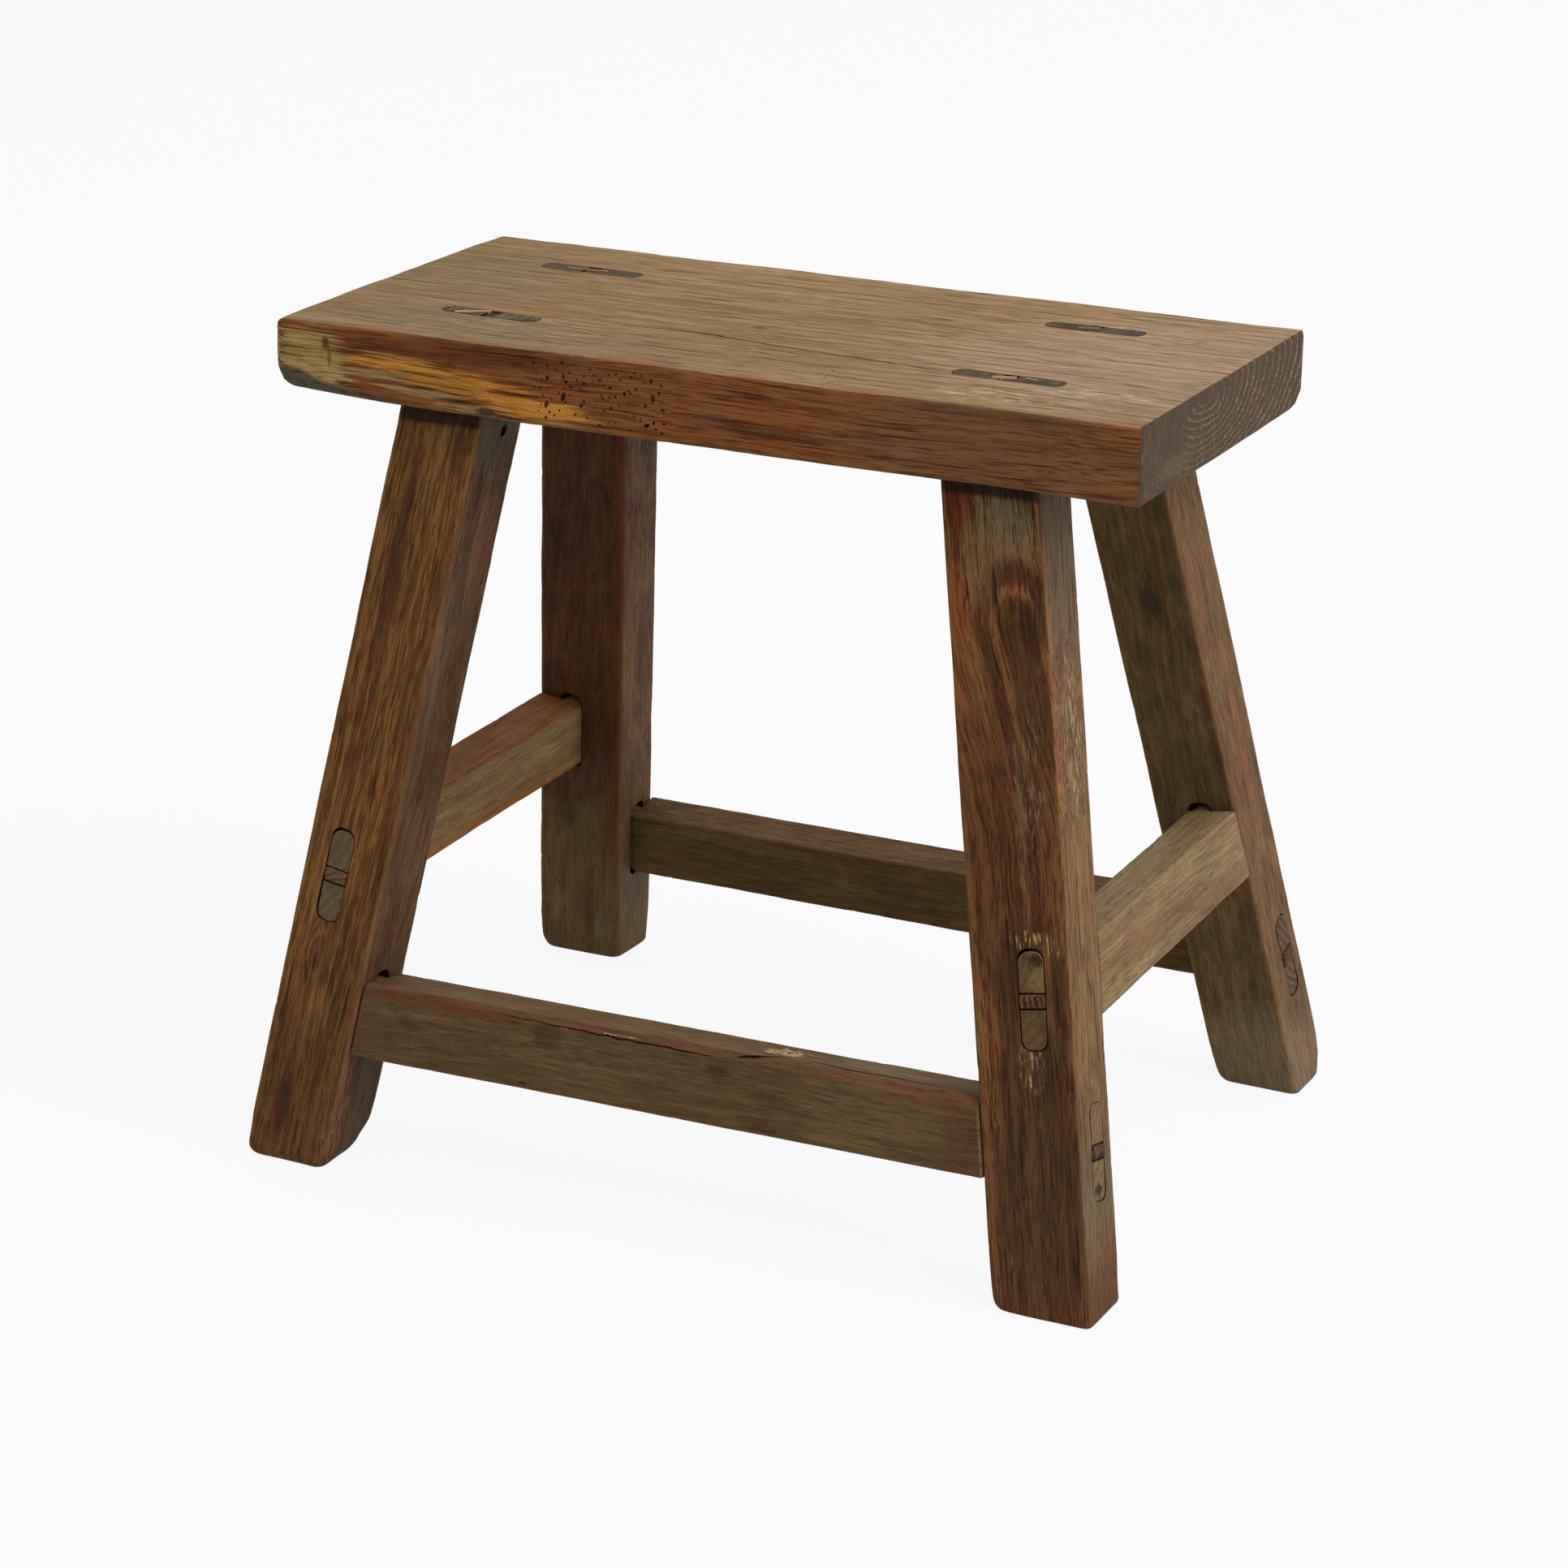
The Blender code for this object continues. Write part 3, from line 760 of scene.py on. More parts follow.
# Light wood, in the tones of its faces, and the colour of the fibres that lie over it
def lightWood(wood):
    look, colour, stain = wood.look, wood.colour, wood.stain
    deep = colour["deep"]
    paint = blend(wood.tone.rise(0.50, 0.68) * look["warmth"], colour["wood"], colour["warm"])
    paint = blend(wood.tone.rise(0.46, 0.30) * look["paleness"], paint, colour["pale"])
    films = []
    for face, (shade, film, *own) in look["faces"].items():
        on = wood.towards(wood.sides[face], 0.45, 0.80)
        paint = blend(on * 0.8, paint, tint(*shade))
        films.append((on * stain.rise(0.25, 0.60) * film, tint(*shade)))
        if own:
            deep = blend(on, deep, tint(*own[0]))
    return paint, films, deep


# Dark fibres, whose share follows the rings, the streaks and the slow tone
def darkFibres(wood):
    look, streak, fibre, arch = wood.look, wood.streak, wood.fibre, wood.arch
    share = (wood.wave - 0.4) * look["rings"] + (streak - 0.5) * look["streaks"]
    share = share + (wood.tone - 0.5) * look["tones"]
    if arch:
        onFront = wood.towards((1, -1), 0.4, 0.8) * wood.rising.rise(-0.12, -0.04)
        arch = arch + (streak - 0.5) * 0.4 + (fibre - 0.5) * 0.25
        bands = arch.rise(1.10, 0.96) * arch.rise(0.64, 0.76) + arch.rise(0.54, 0.42)
        lines = (arch * 5.0 + (fibre - 0.5) * 0.7).math("FRACT")
        lines = lines.rise(0.0, 0.3) * lines.rise(1.0, 0.6)
        share = share + (bands - 0.45) * 0.12 * onFront * arch.rise(1.9, 1.3)
    dark = (fibre + share + look["cover"]).rise(0.46, 0.64)
    if arch:
        zone = onFront * arch.rise(2.1, 1.4) * 0.78
        arched = (lines * 0.40 + bands * 0.55 + (fibre - 0.5) * 0.9).rise(0.15, 0.80)
        dark = dark * (1 - zone) + arched * zone
    return dark


# Rings and pores, and on some timbers the marks of the saw
def endGrain(wood):
    look, colour, wave = wood.look, wood.colour, wood.wave
    rings = wave * look["endRings"]
    if look["ringReach"]:
        across, up = wood.fromPith.part(0), wood.fromPith.part(1)
        shown = up.rise(0.001, -0.006).atLeast(across.rise(0.012, 0.034) * 0.7)
        faded = wood.stain.rise(0.30, 0.55) * shown * across.rise(*look["ringReach"])
        rings = 1 - (1 - wave).rise(0.72, 1.0) * faded
    paint = blend(rings + wood.pores * 0.4, colour["end"], colour["endDeep"])
    paint = paint * ((wood.fibre - 0.5) * 0.9 + 1)
    if look["saw"]:
        sawn = noise(wood.q, elm["saw"], look["seed"] + 30.0, 3.0, 0.6)
        paint = blend(sawn.rise(0.54, 0.68) * look["saw"], paint, colour["end"]) * (sawn * 0.5 + 0.75)
    return paint


# Patches of other colours, each on its own face
def addMarks(wood, paint, endPaint):
    ragged = (wood.streak - 0.5) * 1.6 + (wood.fibre - 0.5) * 1.2
    for face, *place, shade, strength in wood.look["marks"]:
        patch = (wood.far(face, *place) + ragged).rise(1.15, 0.60) * wood.onFace[face] * strength
        if wood.sides[face][0] < 2:
            paint = blend(patch, paint, tint(*shade))
        else:
            endPaint = blend(patch, endPaint, tint(*shade))
    return paint, endPaint


# Bark's edge, dirt, pores, dark lines, painted shadow with dirt at a leg's top under the seat, dust, worn
# arrises and scuffs of pale lines
def addAge(wood, paint, deep):
    look, q, stain, seed = wood.look, wood.q, wood.stain, wood.look["seed"]
    if look["wane"]:
        shade, strength, length = look["wane"]
        below = wood.towards((0, -1), 0.25, 0.55) * wood.towards((1, -1), 0.30, 0.55)
        near = (wood.fromLow / length + (stain - 0.5) * 0.3).rise(1.05, 0.90)
        paint = blend(below * near * strength, paint, tint(*shade))
    patches = noise(q, elm["patch"], seed + 15.3, 3.0, 0.6).rise(0.50, 0.68)
    paint = blend(patches * look["grime"], paint, deep)
    paint = blend(wood.pores * look["pores"], paint, deep)
    line = noise(wood.grain, elm["line"], seed + 17.1) + (wood.streak - 0.5) * 0.2
    paint = paint * (1 - line.rise(0.58, 0.65) * look["lines"])
    # Painted shadow of the seat, with some dirt: darkens a leg's top, most on its front face
    shade, strength, reach = look["crownShadowAndDirt"]
    toTop = (wood.fromHigh / reach + (stain - 0.5) * 0.4).rise(1.10, 0.82)
    paint = blend(toTop * strength * (wood.towards((1, -1), 0.3, 0.7) * 0.8 + 0.2), paint, tint(*shade))

    paint = blend(stain.rise(0.50, 0.70) * look["dusting"], paint, wood.colour["dust"])
    spread = (q * (2 / wood.size[0], 2 / wood.size[1], 0.0)).vectorMath("ABSOLUTE")
    arris = (spread.part(0).atMost(spread.part(1)) + (stain - 0.5) * 0.14).rise(0.87, 0.97)
    paint = blend(arris * look["edgeWear"], paint, wood.colour["edge"])
    if look["scuffs"]:
        scratch = noise(q, elm["scratch"], seed + 21.0, 2.0, 0.6).rise(0.52, 0.64)
    for face, *place, shade, strength in look["scuffs"]:
        patch = (wood.far(face, *place) + (stain - 0.5) * 1.2).rise(1.0, 0.5)
        paint = blend(patch * scratch * wood.onFace[face] * strength, paint, tint(*shade))
    return paint


def elmWood(name, kind, lay, size, changes):
    look = {**elmLook, **changes}
    material, shader, spot = newMaterial(name, elm["roughness"], elm["gloss"])
    wood = ElmLayers(spot, lay, size, look, faceSides[kind])
    stain, fibre, pores = wood.stain, wood.fibre, wood.pores

    paint, films, deep = lightWood(wood)
    dark = darkFibres(wood)
    paint = blend(dark * look["fibres"], paint, deep)
    for strength, shade in films:
        paint = blend(strength, paint, shade)
    blotch = noise(wood.q, elm["blotch"], look["seed"] + 23.7, 4.0, 0.7)
    paint = paint * ((stain - 0.5) * look["mottle"] * 2 + (blotch - 0.5) * look["blotches"] * 2 + 1)
    shade, strength, reach = look["foot"]
    nearFoot = (wood.fromLow / reach + (stain - 0.5) * 1.6).rise(1.0, 0.4)
    paint = blend(nearFoot * strength, paint, tint(*shade))
    paint, endPaint = addMarks(wood, paint, endGrain(wood))
    if look["marks"]:
        paint = blend(dark * look["fibres"] * 0.5, paint, deep)
    paint = addAge(wood, paint, deep)
    ends = wood.facing[2].math("ABSOLUTE").rise(0.55, 0.80)
    paint = blend(ends, paint, endPaint)

    relief = (1 - dark) * 0.5 + wood.streak * 0.8 - pores * 0.6
    raised = {"Strength": elm["bump"], "Distance": elm["bumpDepth"], "Height": relief}
    bump = addNode(spot.tree, "ShaderNodeBump", None, raised)
    rough = (fibre - 0.5) * 0.3 + pores * 0.15 + elm["roughness"]
    feed(shader, {"Base Color": paint, "Roughness": rough, "Normal": bump})
    return material


# Old cuts, pits and cracks, dark with dirt; on the walls of mortises, kerfs, cracks and nail holes the dark
# is also painted shade of the recess
def makeGrime(name, dark, light):
    material, shader, spot = newMaterial(name, 0.9, 0.05)
    mottle = noise(spot, (0.004, 0.004, 0.004), 5.0, 3.0, 0.6)
    feed(shader, {"Base Color": blend(mottle.rise(0.4, 0.65), tint(*dark), tint(*light))})
    return material


# Freshly torn fibres, pale and dull, painted paler still as painted light where the seat shades them
def makePaintedLightSplinterWood():
    material, shader, spot = newMaterial("paintedLightSplinterWood", 0.85, 0.1)
    mottle = noise(spot, (0.003, 0.0008, 0.0008), 3.0, 2.0, 0.6)
    feed(shader, {"Base Color": blend(mottle.rise(0.40, 0.62), tint(140, 106, 70), tint(240, 218, 170))})
    return material


# Dirt and painted shade for the walls of mortises, kerfs, cracks and nail holes
grime = makeGrime("oldGrimeAndShade", (38, 25, 16), (66, 44, 27))
pitGrime = makeGrime("pitGrime", (60, 36, 20), (104, 70, 40))
paintedLightSplinterWood = makePaintedLightSplinterWood()


# Joints in the seat: the mortise is cut a little unevenly, and the tenon's end fills it
seatJoint = {
    "mortiseWidth": 0.0125, "gap": 0.0005, "recess": 0.0006, "spread": 0.008, "relief": 0.0007,
    "mortiseCorner": 0.0055, "tongueCorner": 0.0052, "tongueInto": 0.012, "overrun": 0.030,
    # the kerf's width, depth and flare, and how far its cut runs past the tenon
    "kerf": 0.0050, "kerfDepth": 0.030, "kerfFlare": 1.6, "kerfPast": 0.004, "kerfSides": 0.002,
    "wedgeSunk": 0.0007, "wedgeShort": 0.002, "wedgeFlare": 1.35,
    "below": 0.0010,  # how far the plank's underside lies below the solid's
    "clear": 0.0003,  # between that underside and the leg's shoulder
}


def seatMortise(node):
    leg = legs[node]
    exit = extreme(node + "_wedge", zAxis)
    base = leg["top"] + yAxis * (exit.y - leg["top"].y - leg["along"].y * (seatHigh.z - seatLow.z))
    return exit, base


def seatLay(node):
    exit, base = seatMortise(node)
    along = (exit - base) / (seatHigh.z - base.z)
    return exit, Lay(exit, xAxis, yAxis, along)


print("tree and helpers ready")
makeCamera()
makeStudio()


seatWood = {
    "wood": (172, 138, 92), "deep": (127, 96, 60), "warm": (178, 127, 71), "pale": (184, 157, 116),
    "end": (144, 115, 86), "endDeep": (84, 67, 51), "dust": (156, 142, 114), "edge": (150, 114, 78),
    "faces": {
        "front": ((142, 75, 24), 0.40, (62, 34, 16)), "back": ((126, 86, 50), 0.35, (70, 44, 26)),
        "under": ((110, 88, 62), 0.35),
    },
    "pith": (-0.0385, 0.0165), "pithDrift": (0.03, 0.0), "ringSpacing": 0.0036, "rings": 0.08,
    "fibres": 0.48, "pores": 0.45, "paleness": 0.40, "dusting": 0.10, "edgeWear": 0.20, "stretch": 2.2,
    "mottle": 0.22, "seed": 2.0, "endRings": 1.0, "ringReach": (-0.034, -0.014), "streaks": 0.34,
    "grime": 0.22, "ringShape": (0.42, 1.0), "saw": 0.30, "lines": 0.62, "blotches": 0.10,
    "wane": ((80, 76, 60), 0.92, 0.088),
    "knots": (("top", -0.016, 0.246, 0.007, 0.020, 0.004),),
    "marks": (
        # paler to the right and the back
        ("top", 0.010, 0.470, 0.120, 0.130, (198, 167, 134), 0.70),
        ("top", 0.080, 0.260, 0.050, 0.180, (186, 151, 107), 0.60),
        ("top", -0.096, 0.330, 0.018, 0.110, (186, 153, 112), 0.50),
        ("top", 0.0, 0.050, 0.090, 0.060, (146, 126, 96), 0.40),
        ("top", -0.086, 0.120, 0.022, 0.120, (146, 123, 91), 0.50),
        ("top", -0.016, 0.246, 0.0025, 0.006, (74, 52, 38), 0.90),
        ("top", 0.044, 0.325, 0.0030, 0.006, (120, 70, 48), 0.60),
        ("top", -0.040, 0.472, 0.0016, 0.010, (96, 66, 42), 0.60),
        # the sapwood that stays at the front's left
        ("front", 0.0130, 0.110, 0.0050, 0.085, (112, 58, 26), 0.75),
        ("front", -0.0040, 0.022, 0.0240, 0.028, (198, 166, 102), 0.85),
        ("front", 0.0033, 0.074, 0.0055, 0.032, (214, 148, 60), 0.85),
        ("front", -0.0037, 0.114, 0.0075, 0.038, (212, 142, 56), 0.85),
        ("front", -0.0115, 0.160, 0.0072, 0.036, (222, 152, 60), 0.90),
        ("front", -0.0045, 0.062, 0.0032, 0.024, (172, 144, 92), 0.85),
        ("front", -0.0105, 0.092, 0.0032, 0.028, (168, 138, 88), 0.85),
        ("front", -0.0160, 0.124, 0.0028, 0.022, (164, 132, 80), 0.80),
        ("front", -0.0085, 0.093, 0.0011, 0.016, (44, 36, 28), 0.80),
        ("front", -0.0130, 0.118, 0.0011, 0.016, (40, 34, 28), 0.80),
        ("front", -0.0165, 0.133, 0.0022, 0.007, (40, 38, 36), 0.80),
        ("front", 0.0095, 0.034, 0.0035, 0.0026, (72, 46, 24), 0.80),
        ("front", 0.0020, 0.036, 0.0060, 0.0016, (92, 66, 36), 0.65),
        ("front", -0.0190, 0.030, 0.0060, 0.050, (84, 78, 60), 0.80),
        ("front", -0.0140, 0.004, 0.0080, 0.026, (96, 86, 62), 0.90),
        ("front", 0.0, 0.425, 0.0300, 0.090, (124, 90, 56), 0.60),
        ("under", -0.105, 0.050, 0.0150, 0.080, (92, 84, 62), 0.85),
        ("front", 0.0170, 0.430, 0.0028, 0.070, (62, 40, 24), 0.35),
        ("front", -0.0080, 0.300, 0.0030, 0.040, (78, 44, 24), 0.50),
        ("left", 0.0, 0.0, 0.200, 0.050, (184, 154, 96), 0.80),
        ("right", -0.070, -0.010, 0.025, 0.006, (104, 98, 72), 0.50),
    ),
    "scuffs": (
        ("top", -0.070, 0.140, 0.030, 0.060, (196, 178, 142), 0.55),
        ("top", 0.060, 0.410, 0.018, 0.055, (212, 196, 146), 0.95),
        ("top", -0.066, 0.458, 0.014, 0.045, (216, 202, 150), 1.0),
        ("top", -0.088, 0.410, 0.014, 0.036, (218, 204, 152), 1.0),
        ("top", -0.090, 0.455, 0.012, 0.060, (206, 180, 142), 0.80),
    ),
}

legWoods = {
    "front_left_leg": {
        "wood": (138, 92, 43), "deep": (74, 46, 21), "warm": (140, 84, 38), "pale": (146, 106, 60),
        "streaks": 0.3, "fibres": 0.64, "lines": 0.50,
        "faces": {"right": ((104, 74, 46), 0.45)}, "seed": 11.0, "dusting": 0.06, "tones": 0.45,
        "pith": (-0.120, 0.020), "ringSpacing": 0.0062, "rings": 0.12, "end": (122, 104, 76),
        "foot": ((92, 60, 34), 0.50, 0.15),
        "knots": (("front", -0.0079, 0.119, 0.010, 0.022, 0.010),),
        "marks": (
            ("front", -0.009, 0.334, 0.0050, 0.060, (62, 36, 24), 0.65),
            ("front", 0.016, 0.395, 0.0050, 0.014, (78, 40, 32), 0.50),
            ("front", -0.0079, 0.119, 0.0040, 0.007, (104, 70, 46), 0.8),
            ("front", -0.0079, 0.032, 0.005, 0.020, (50, 32, 26), 0.7),
            ("front", 0.022, 0.250, 0.0035, 0.120, (112, 62, 34), 0.45),
            ("right", 0.0, 0.405, 0.030, 0.030, (98, 90, 74), 0.65),
            ("right", 0.006, 0.345, 0.014, 0.034, (140, 92, 66), 0.55),
            ("right", -0.015, 0.300, 0.010, 0.060, (122, 96, 72), 0.40),
            ("right", -0.020, 0.045, 0.010, 0.060, (134, 92, 66), 0.75),
            ("right", 0.006, 0.040, 0.014, 0.050, (92, 84, 58), 0.60),
            ("head", -0.018, 0.0, 0.015, 0.009, (62, 50, 42), 0.90),
            ("head", 0.008, 0.001, 0.010, 0.005, (136, 108, 70), 0.70),
            ("head", 0.027, 0.0, 0.008, 0.009, (66, 56, 50), 0.90),
        ),
    },
    "front_right_leg": {
        "wood": (142, 93, 50), "deep": (48, 25, 13), "warm": (144, 76, 36), "pale": (148, 112, 68),
        "faces": {"right": ((135, 102, 66), 0.55, (88, 62, 40))}, "seed": 17.0, "dusting": 0.06,
        "lines": 0.60, "fibres": 0.64, "edgeWear": 0.2,
        "pith": (-0.200, 0.0), "pithDrift": (0.0, 0.0), "ringSpacing": 0.0085, "rings": 0.08,
        "arches": ((0.010, 0.343, 0.024, 0.034, 0.24),), "end": (108, 88, 66),
        "foot": ((104, 64, 42), 0.55, 0.034),
        "marks": (
            ("front", -0.0190, 0.402, 0.0070, 0.018, (126, 58, 26), 0.85),
            ("front", 0.0084, 0.398, 0.0190, 0.020, (140, 118, 82), 0.90),
            ("front", -0.0080, 0.375, 0.0110, 0.026, (146, 112, 68), 0.55),
            ("front", 0.0200, 0.345, 0.0080, 0.016, (40, 22, 14), 0.60),
            ("front", -0.0215, 0.330, 0.0060, 0.060, (146, 80, 40), 0.55),
            ("front", -0.0040, 0.235, 0.0260, 0.080, (80, 44, 23), 0.50),
            ("front", 0.0060, 0.240, 0.0030, 0.050, (150, 116, 72), 0.40),
            ("front", 0.0150, 0.1260, 0.0070, 0.026, (84, 62, 30), 0.80),
            ("front", 0.0020, 0.1620, 0.0200, 0.034, (48, 30, 18), 0.55),
            ("front", 0.0050, 0.072, 0.030, 0.066, (74, 56, 38), 0.70),
            ("front", 0.0230, 0.160, 0.006, 0.030, (58, 38, 24), 0.60),
            ("right", 0.0, 0.066, 0.030, 0.036, (120, 104, 76), 0.75),
            ("right", 0.0, 0.012, 0.030, 0.018, (104, 72, 44), 0.75),
            ("right", 0.0, 0.385, 0.030, 0.060, (98, 86, 72), 0.65),
            ("right", -0.0175, 0.280, 0.0030, 0.150, (150, 100, 58), 0.60),
            ("right", 0.004, 0.170, 0.020, 0.080, (146, 112, 72), 0.50),
            ("head", -0.017, 0.0, 0.012, 0.009, (84, 72, 60), 0.90),
            ("head", -0.002, 0.0, 0.008, 0.006, (140, 114, 78), 0.85),
            ("head", 0.020, 0.0, 0.014, 0.009, (72, 56, 44), 0.90),
        ),
        "scuffs": (
            ("front", 0.010, 0.190, 0.018, 0.0065, (190, 160, 96), 1.00),
            ("front", 0.003, 0.128, 0.008, 0.014, (204, 178, 132), 0.95),
            ("front", 0.012, 0.270, 0.014, 0.050, (150, 128, 92), 0.55),
            ("right", 0.004, 0.290, 0.014, 0.050, (180, 166, 134), 0.70),
        ),
    },
    "back_left_leg": {
        "wood": (91, 56, 28), "deep": (52, 31, 15), "warm": (108, 58, 32), "pale": (98, 72, 44),
        "fibres": 0.34, "pores": 0.2, "lines": 0.12, "blotches": 1.20, "streaks": 0.2, "dusting": 0.05,
        "faces": {"right": ((116, 84, 57), 0.5)}, "seed": 23.0, "mottle": 0.7,
        "foot": ((120, 95, 57), 0.75, 0.130),
        "marks": (
            ("front", 0.0250, 0.250, 0.0050, 0.180, (112, 52, 28), 0.60),
            ("front", -0.007, 0.099, 0.0040, 0.006, (50, 34, 22), 0.60),
            ("front", -0.014, 0.030, 0.0060, 0.018, (140, 108, 76), 0.45),
            ("front", 0.006, 0.042, 0.0060, 0.026, (92, 56, 32), 0.55),
            ("front", 0.017, 0.022, 0.0060, 0.012, (132, 110, 84), 0.50),
            ("right", 0.0, 0.050, 0.0200, 0.030, (124, 104, 86), 0.45),
            ("head", 0.0, 0.0, 0.040, 0.009, (78, 62, 46), 0.70),
        ),
    },
    "back_right_leg": {
        "wood": (108, 84, 49), "deep": (62, 44, 26), "warm": (116, 80, 46), "pale": (122, 100, 64),
        "fibres": 0.36, "pores": 0.2, "lines": 0.15, "blotches": 0.90, "streaks": 0.25,
        "faces": {"right": ((121, 90, 59), 0.5)}, "seed": 31.0, "dusting": 0.06, "mottle": 0.6,
        "foot": ((137, 115, 88), 0.70, 0.065),
        "knots": (
            ("front", 0.0013, 0.308, 0.009, 0.020, 0.008), ("front", 0.0179, 0.321, 0.006, 0.014, 0.006),
        ),
        "marks": (
            ("front", 0.0013, 0.308, 0.0070, 0.010, (44, 34, 22), 0.70),
            ("front", 0.0179, 0.321, 0.0040, 0.008, (44, 34, 22), 0.60),
            ("front", 0.0215, 0.250, 0.0045, 0.011, (98, 50, 24), 0.80),
            ("right", 0.004, 0.220, 0.0050, 0.090, (158, 100, 66), 0.35),
            ("right", -0.014, 0.330, 0.0040, 0.070, (150, 92, 60), 0.35),
            ("head", -0.016, 0.0, 0.013, 0.009, (66, 47, 34), 0.90),
            ("head", 0.018, 0.0, 0.010, 0.009, (74, 66, 60), 0.90),
            ("head", 0.031, 0.0, 0.004, 0.009, (140, 116, 82), 0.80),
        ),
    },
}

# All four legs share the painted shadow, with dirt, just under the seat
legWood = {"crownShadowAndDirt": ((28, 19, 13), 0.88, 0.0120)}  # what all four legs share

# Wedges: their own wood, and what differs in some
wedgeWood = {
    "wood": (110, 84, 58), "deep": (60, 44, 32), "end": (104, 80, 56), "endDeep": (56, 42, 30),
    "pith": (0.030, 0.020), "ringSpacing": 0.0030, "dusting": 0.10, "edgeWear": 0.0,
}

wedgeWoods = {
    "front_left_leg_wedge": {"end": (66, 48, 36)},
    "left_stretcher_front_wedge": {"end": (132, 96, 68), "endDeep": (78, 54, 38), "endRings": 0.7},
    "right_stretcher_front_wedge": {
        "end": (134, 90, 62), "endDeep": (56, 36, 26), "pith": (0.0, 0.300), "ringSpacing": 0.0034,
        "endRings": 0.9,
    },
    "back_stretcher_right_wedge": {"end": (116, 76, 54), "endDeep": (60, 40, 30), "endRings": 0.8},
    "front_stretcher_right_wedge": {
        "end": (126, 92, 66), "endDeep": (54, 40, 32), "pith": (0.200, 0.240), "ringSpacing": 0.0026,
        "endRings": 0.9, "marks": (("head", -0.0030, -0.0020, 0.0034, 0.0040, (44, 32, 26), 0.95),),
    },
}

stretcherWoods = {
    "front_stretcher": {
        "wood": (109, 85, 51), "deep": (72, 55, 34), "faces": {"top": ((146, 112, 73), 0.5)}, "seed": 41.0,
        "pith": (0.08, 0.10), "fibres": 0.28, "cover": 0.03, "stretch": 1.6, "mottle": 0.35, "warmth": 0.15,
        "lines": 0.18, "blotches": 0.30, "streaks": 0.2,
        "end": (138, 112, 80), "edge": (120, 88, 60), "endRings": 0.25,
        "marks": (
            ("near", 0.0200, 0.210, 0.0036, 0.200, (120, 78, 54), 0.70),
            ("top", 0.0180, 0.230, 0.0036, 0.200, (124, 82, 58), 0.50),
            ("near", -0.0020, 0.305, 0.0200, 0.045, (126, 101, 66), 0.60),
            ("near", 0.0165, 0.050, 0.0050, 0.055, (118, 66, 38), 0.70),
            ("near", -0.0174, 0.104, 0.0012, 0.003, (42, 30, 20), 0.80),
            ("near", 0.0100, 0.117, 0.0070, 0.010, (62, 48, 32), 0.50),
            # A pale patch of bare wood, painted paler still as painted light where the seat shades the top
            ("top", -0.0010, 0.2465, 0.0070, 0.0105, (226, 208, 168), 0.90),
            ("high", -0.0195, 0.001, 0.0034, 0.0040, (44, 32, 26), 0.95),
            ("low", 0.010, 0.0, 0.010, 0.009, (120, 100, 72), 0.60),
            ("near", 0.0090, 0.218, 0.0045, 0.008, (58, 42, 28), 0.60),
            ("near", 0.0185, 0.342, 0.0060, 0.022, (138, 82, 54), 0.65),
            # Painted light: the back half of the top is painted paler where the right leg casts its shadow
            ("top", -0.0085, 0.322, 0.0150, 0.052, (188, 158, 120), 0.75),
            ("near", -0.0050, 0.364, 0.0300, 0.013, (108, 66, 42), 0.65),
            ("near", -0.0040, 0.006, 0.0200, 0.012, (104, 74, 46), 0.50),
        ),
        "scuffs": (("near", 0.0050, 0.160, 0.016, 0.060, (128, 108, 76), 0.30),),
    },
    "back_stretcher": {
        "wood": (100, 76, 40), "deep": (63, 46, 24), "faces": {"top": ((130, 98, 66), 0.4)}, "seed": 43.0,
        "fibres": 0.32, "stretch": 1.6, "warmth": 0.2, "endRings": 0.60, "end": (116, 90, 68),
        "endDeep": (62, 46, 34), "blotches": 0.40, "lines": 0.15, "edge": (118, 76, 50), "mottle": 0.5,
    },
    # Pale wood, painted paler still all over: partly its own colour, partly painted light where the seat's
    # shadow falls on this stretcher
    "left_stretcher": {
        "wood": (156, 126, 80), "deep": (102, 80, 50), "faces": {"top": ((168, 103, 58), 0.4)}, "seed": 47.0,
        "fibres": 0.20, "stretch": 1.4, "endRings": 0.25, "end": (116, 100, 70), "blotches": 0.40,
        "lines": 0.12, "edge": (160, 104, 60), "mottle": 0.6,
        "marks": (
            ("near", -0.0175, 0.110, 0.0045, 0.105, (172, 108, 46), 0.75),
            ("low", 0.014, 0.0, 0.009, 0.009, (96, 84, 60), 0.60),
        ),
    },
    "right_stretcher": {
        "wood": (149, 124, 86), "deep": (104, 82, 54), "faces": {"top": ((166, 140, 98), 0.4)}, "seed": 53.0,
        "fibres": 0.25, "stretch": 1.4, "blotches": 0.30, "lines": 0.12, "mottle": 0.5,
        "endRings": 0.25, "end": (118, 90, 56), "endDeep": (72, 52, 32), "edge": (150, 122, 86),
        "marks": (
            ("near", 0.004, 0.090, 0.0035, 0.070, (156, 112, 80), 0.50),
            ("low", 0.010, 0.0, 0.008, 0.009, (148, 118, 74), 0.75),
            ("low", -0.013, 0.0, 0.006, 0.005, (88, 60, 34), 0.70),
            ("low", 0.021, 0.0, 0.0035, 0.009, (44, 32, 22), 0.80),
        ),
    },
}


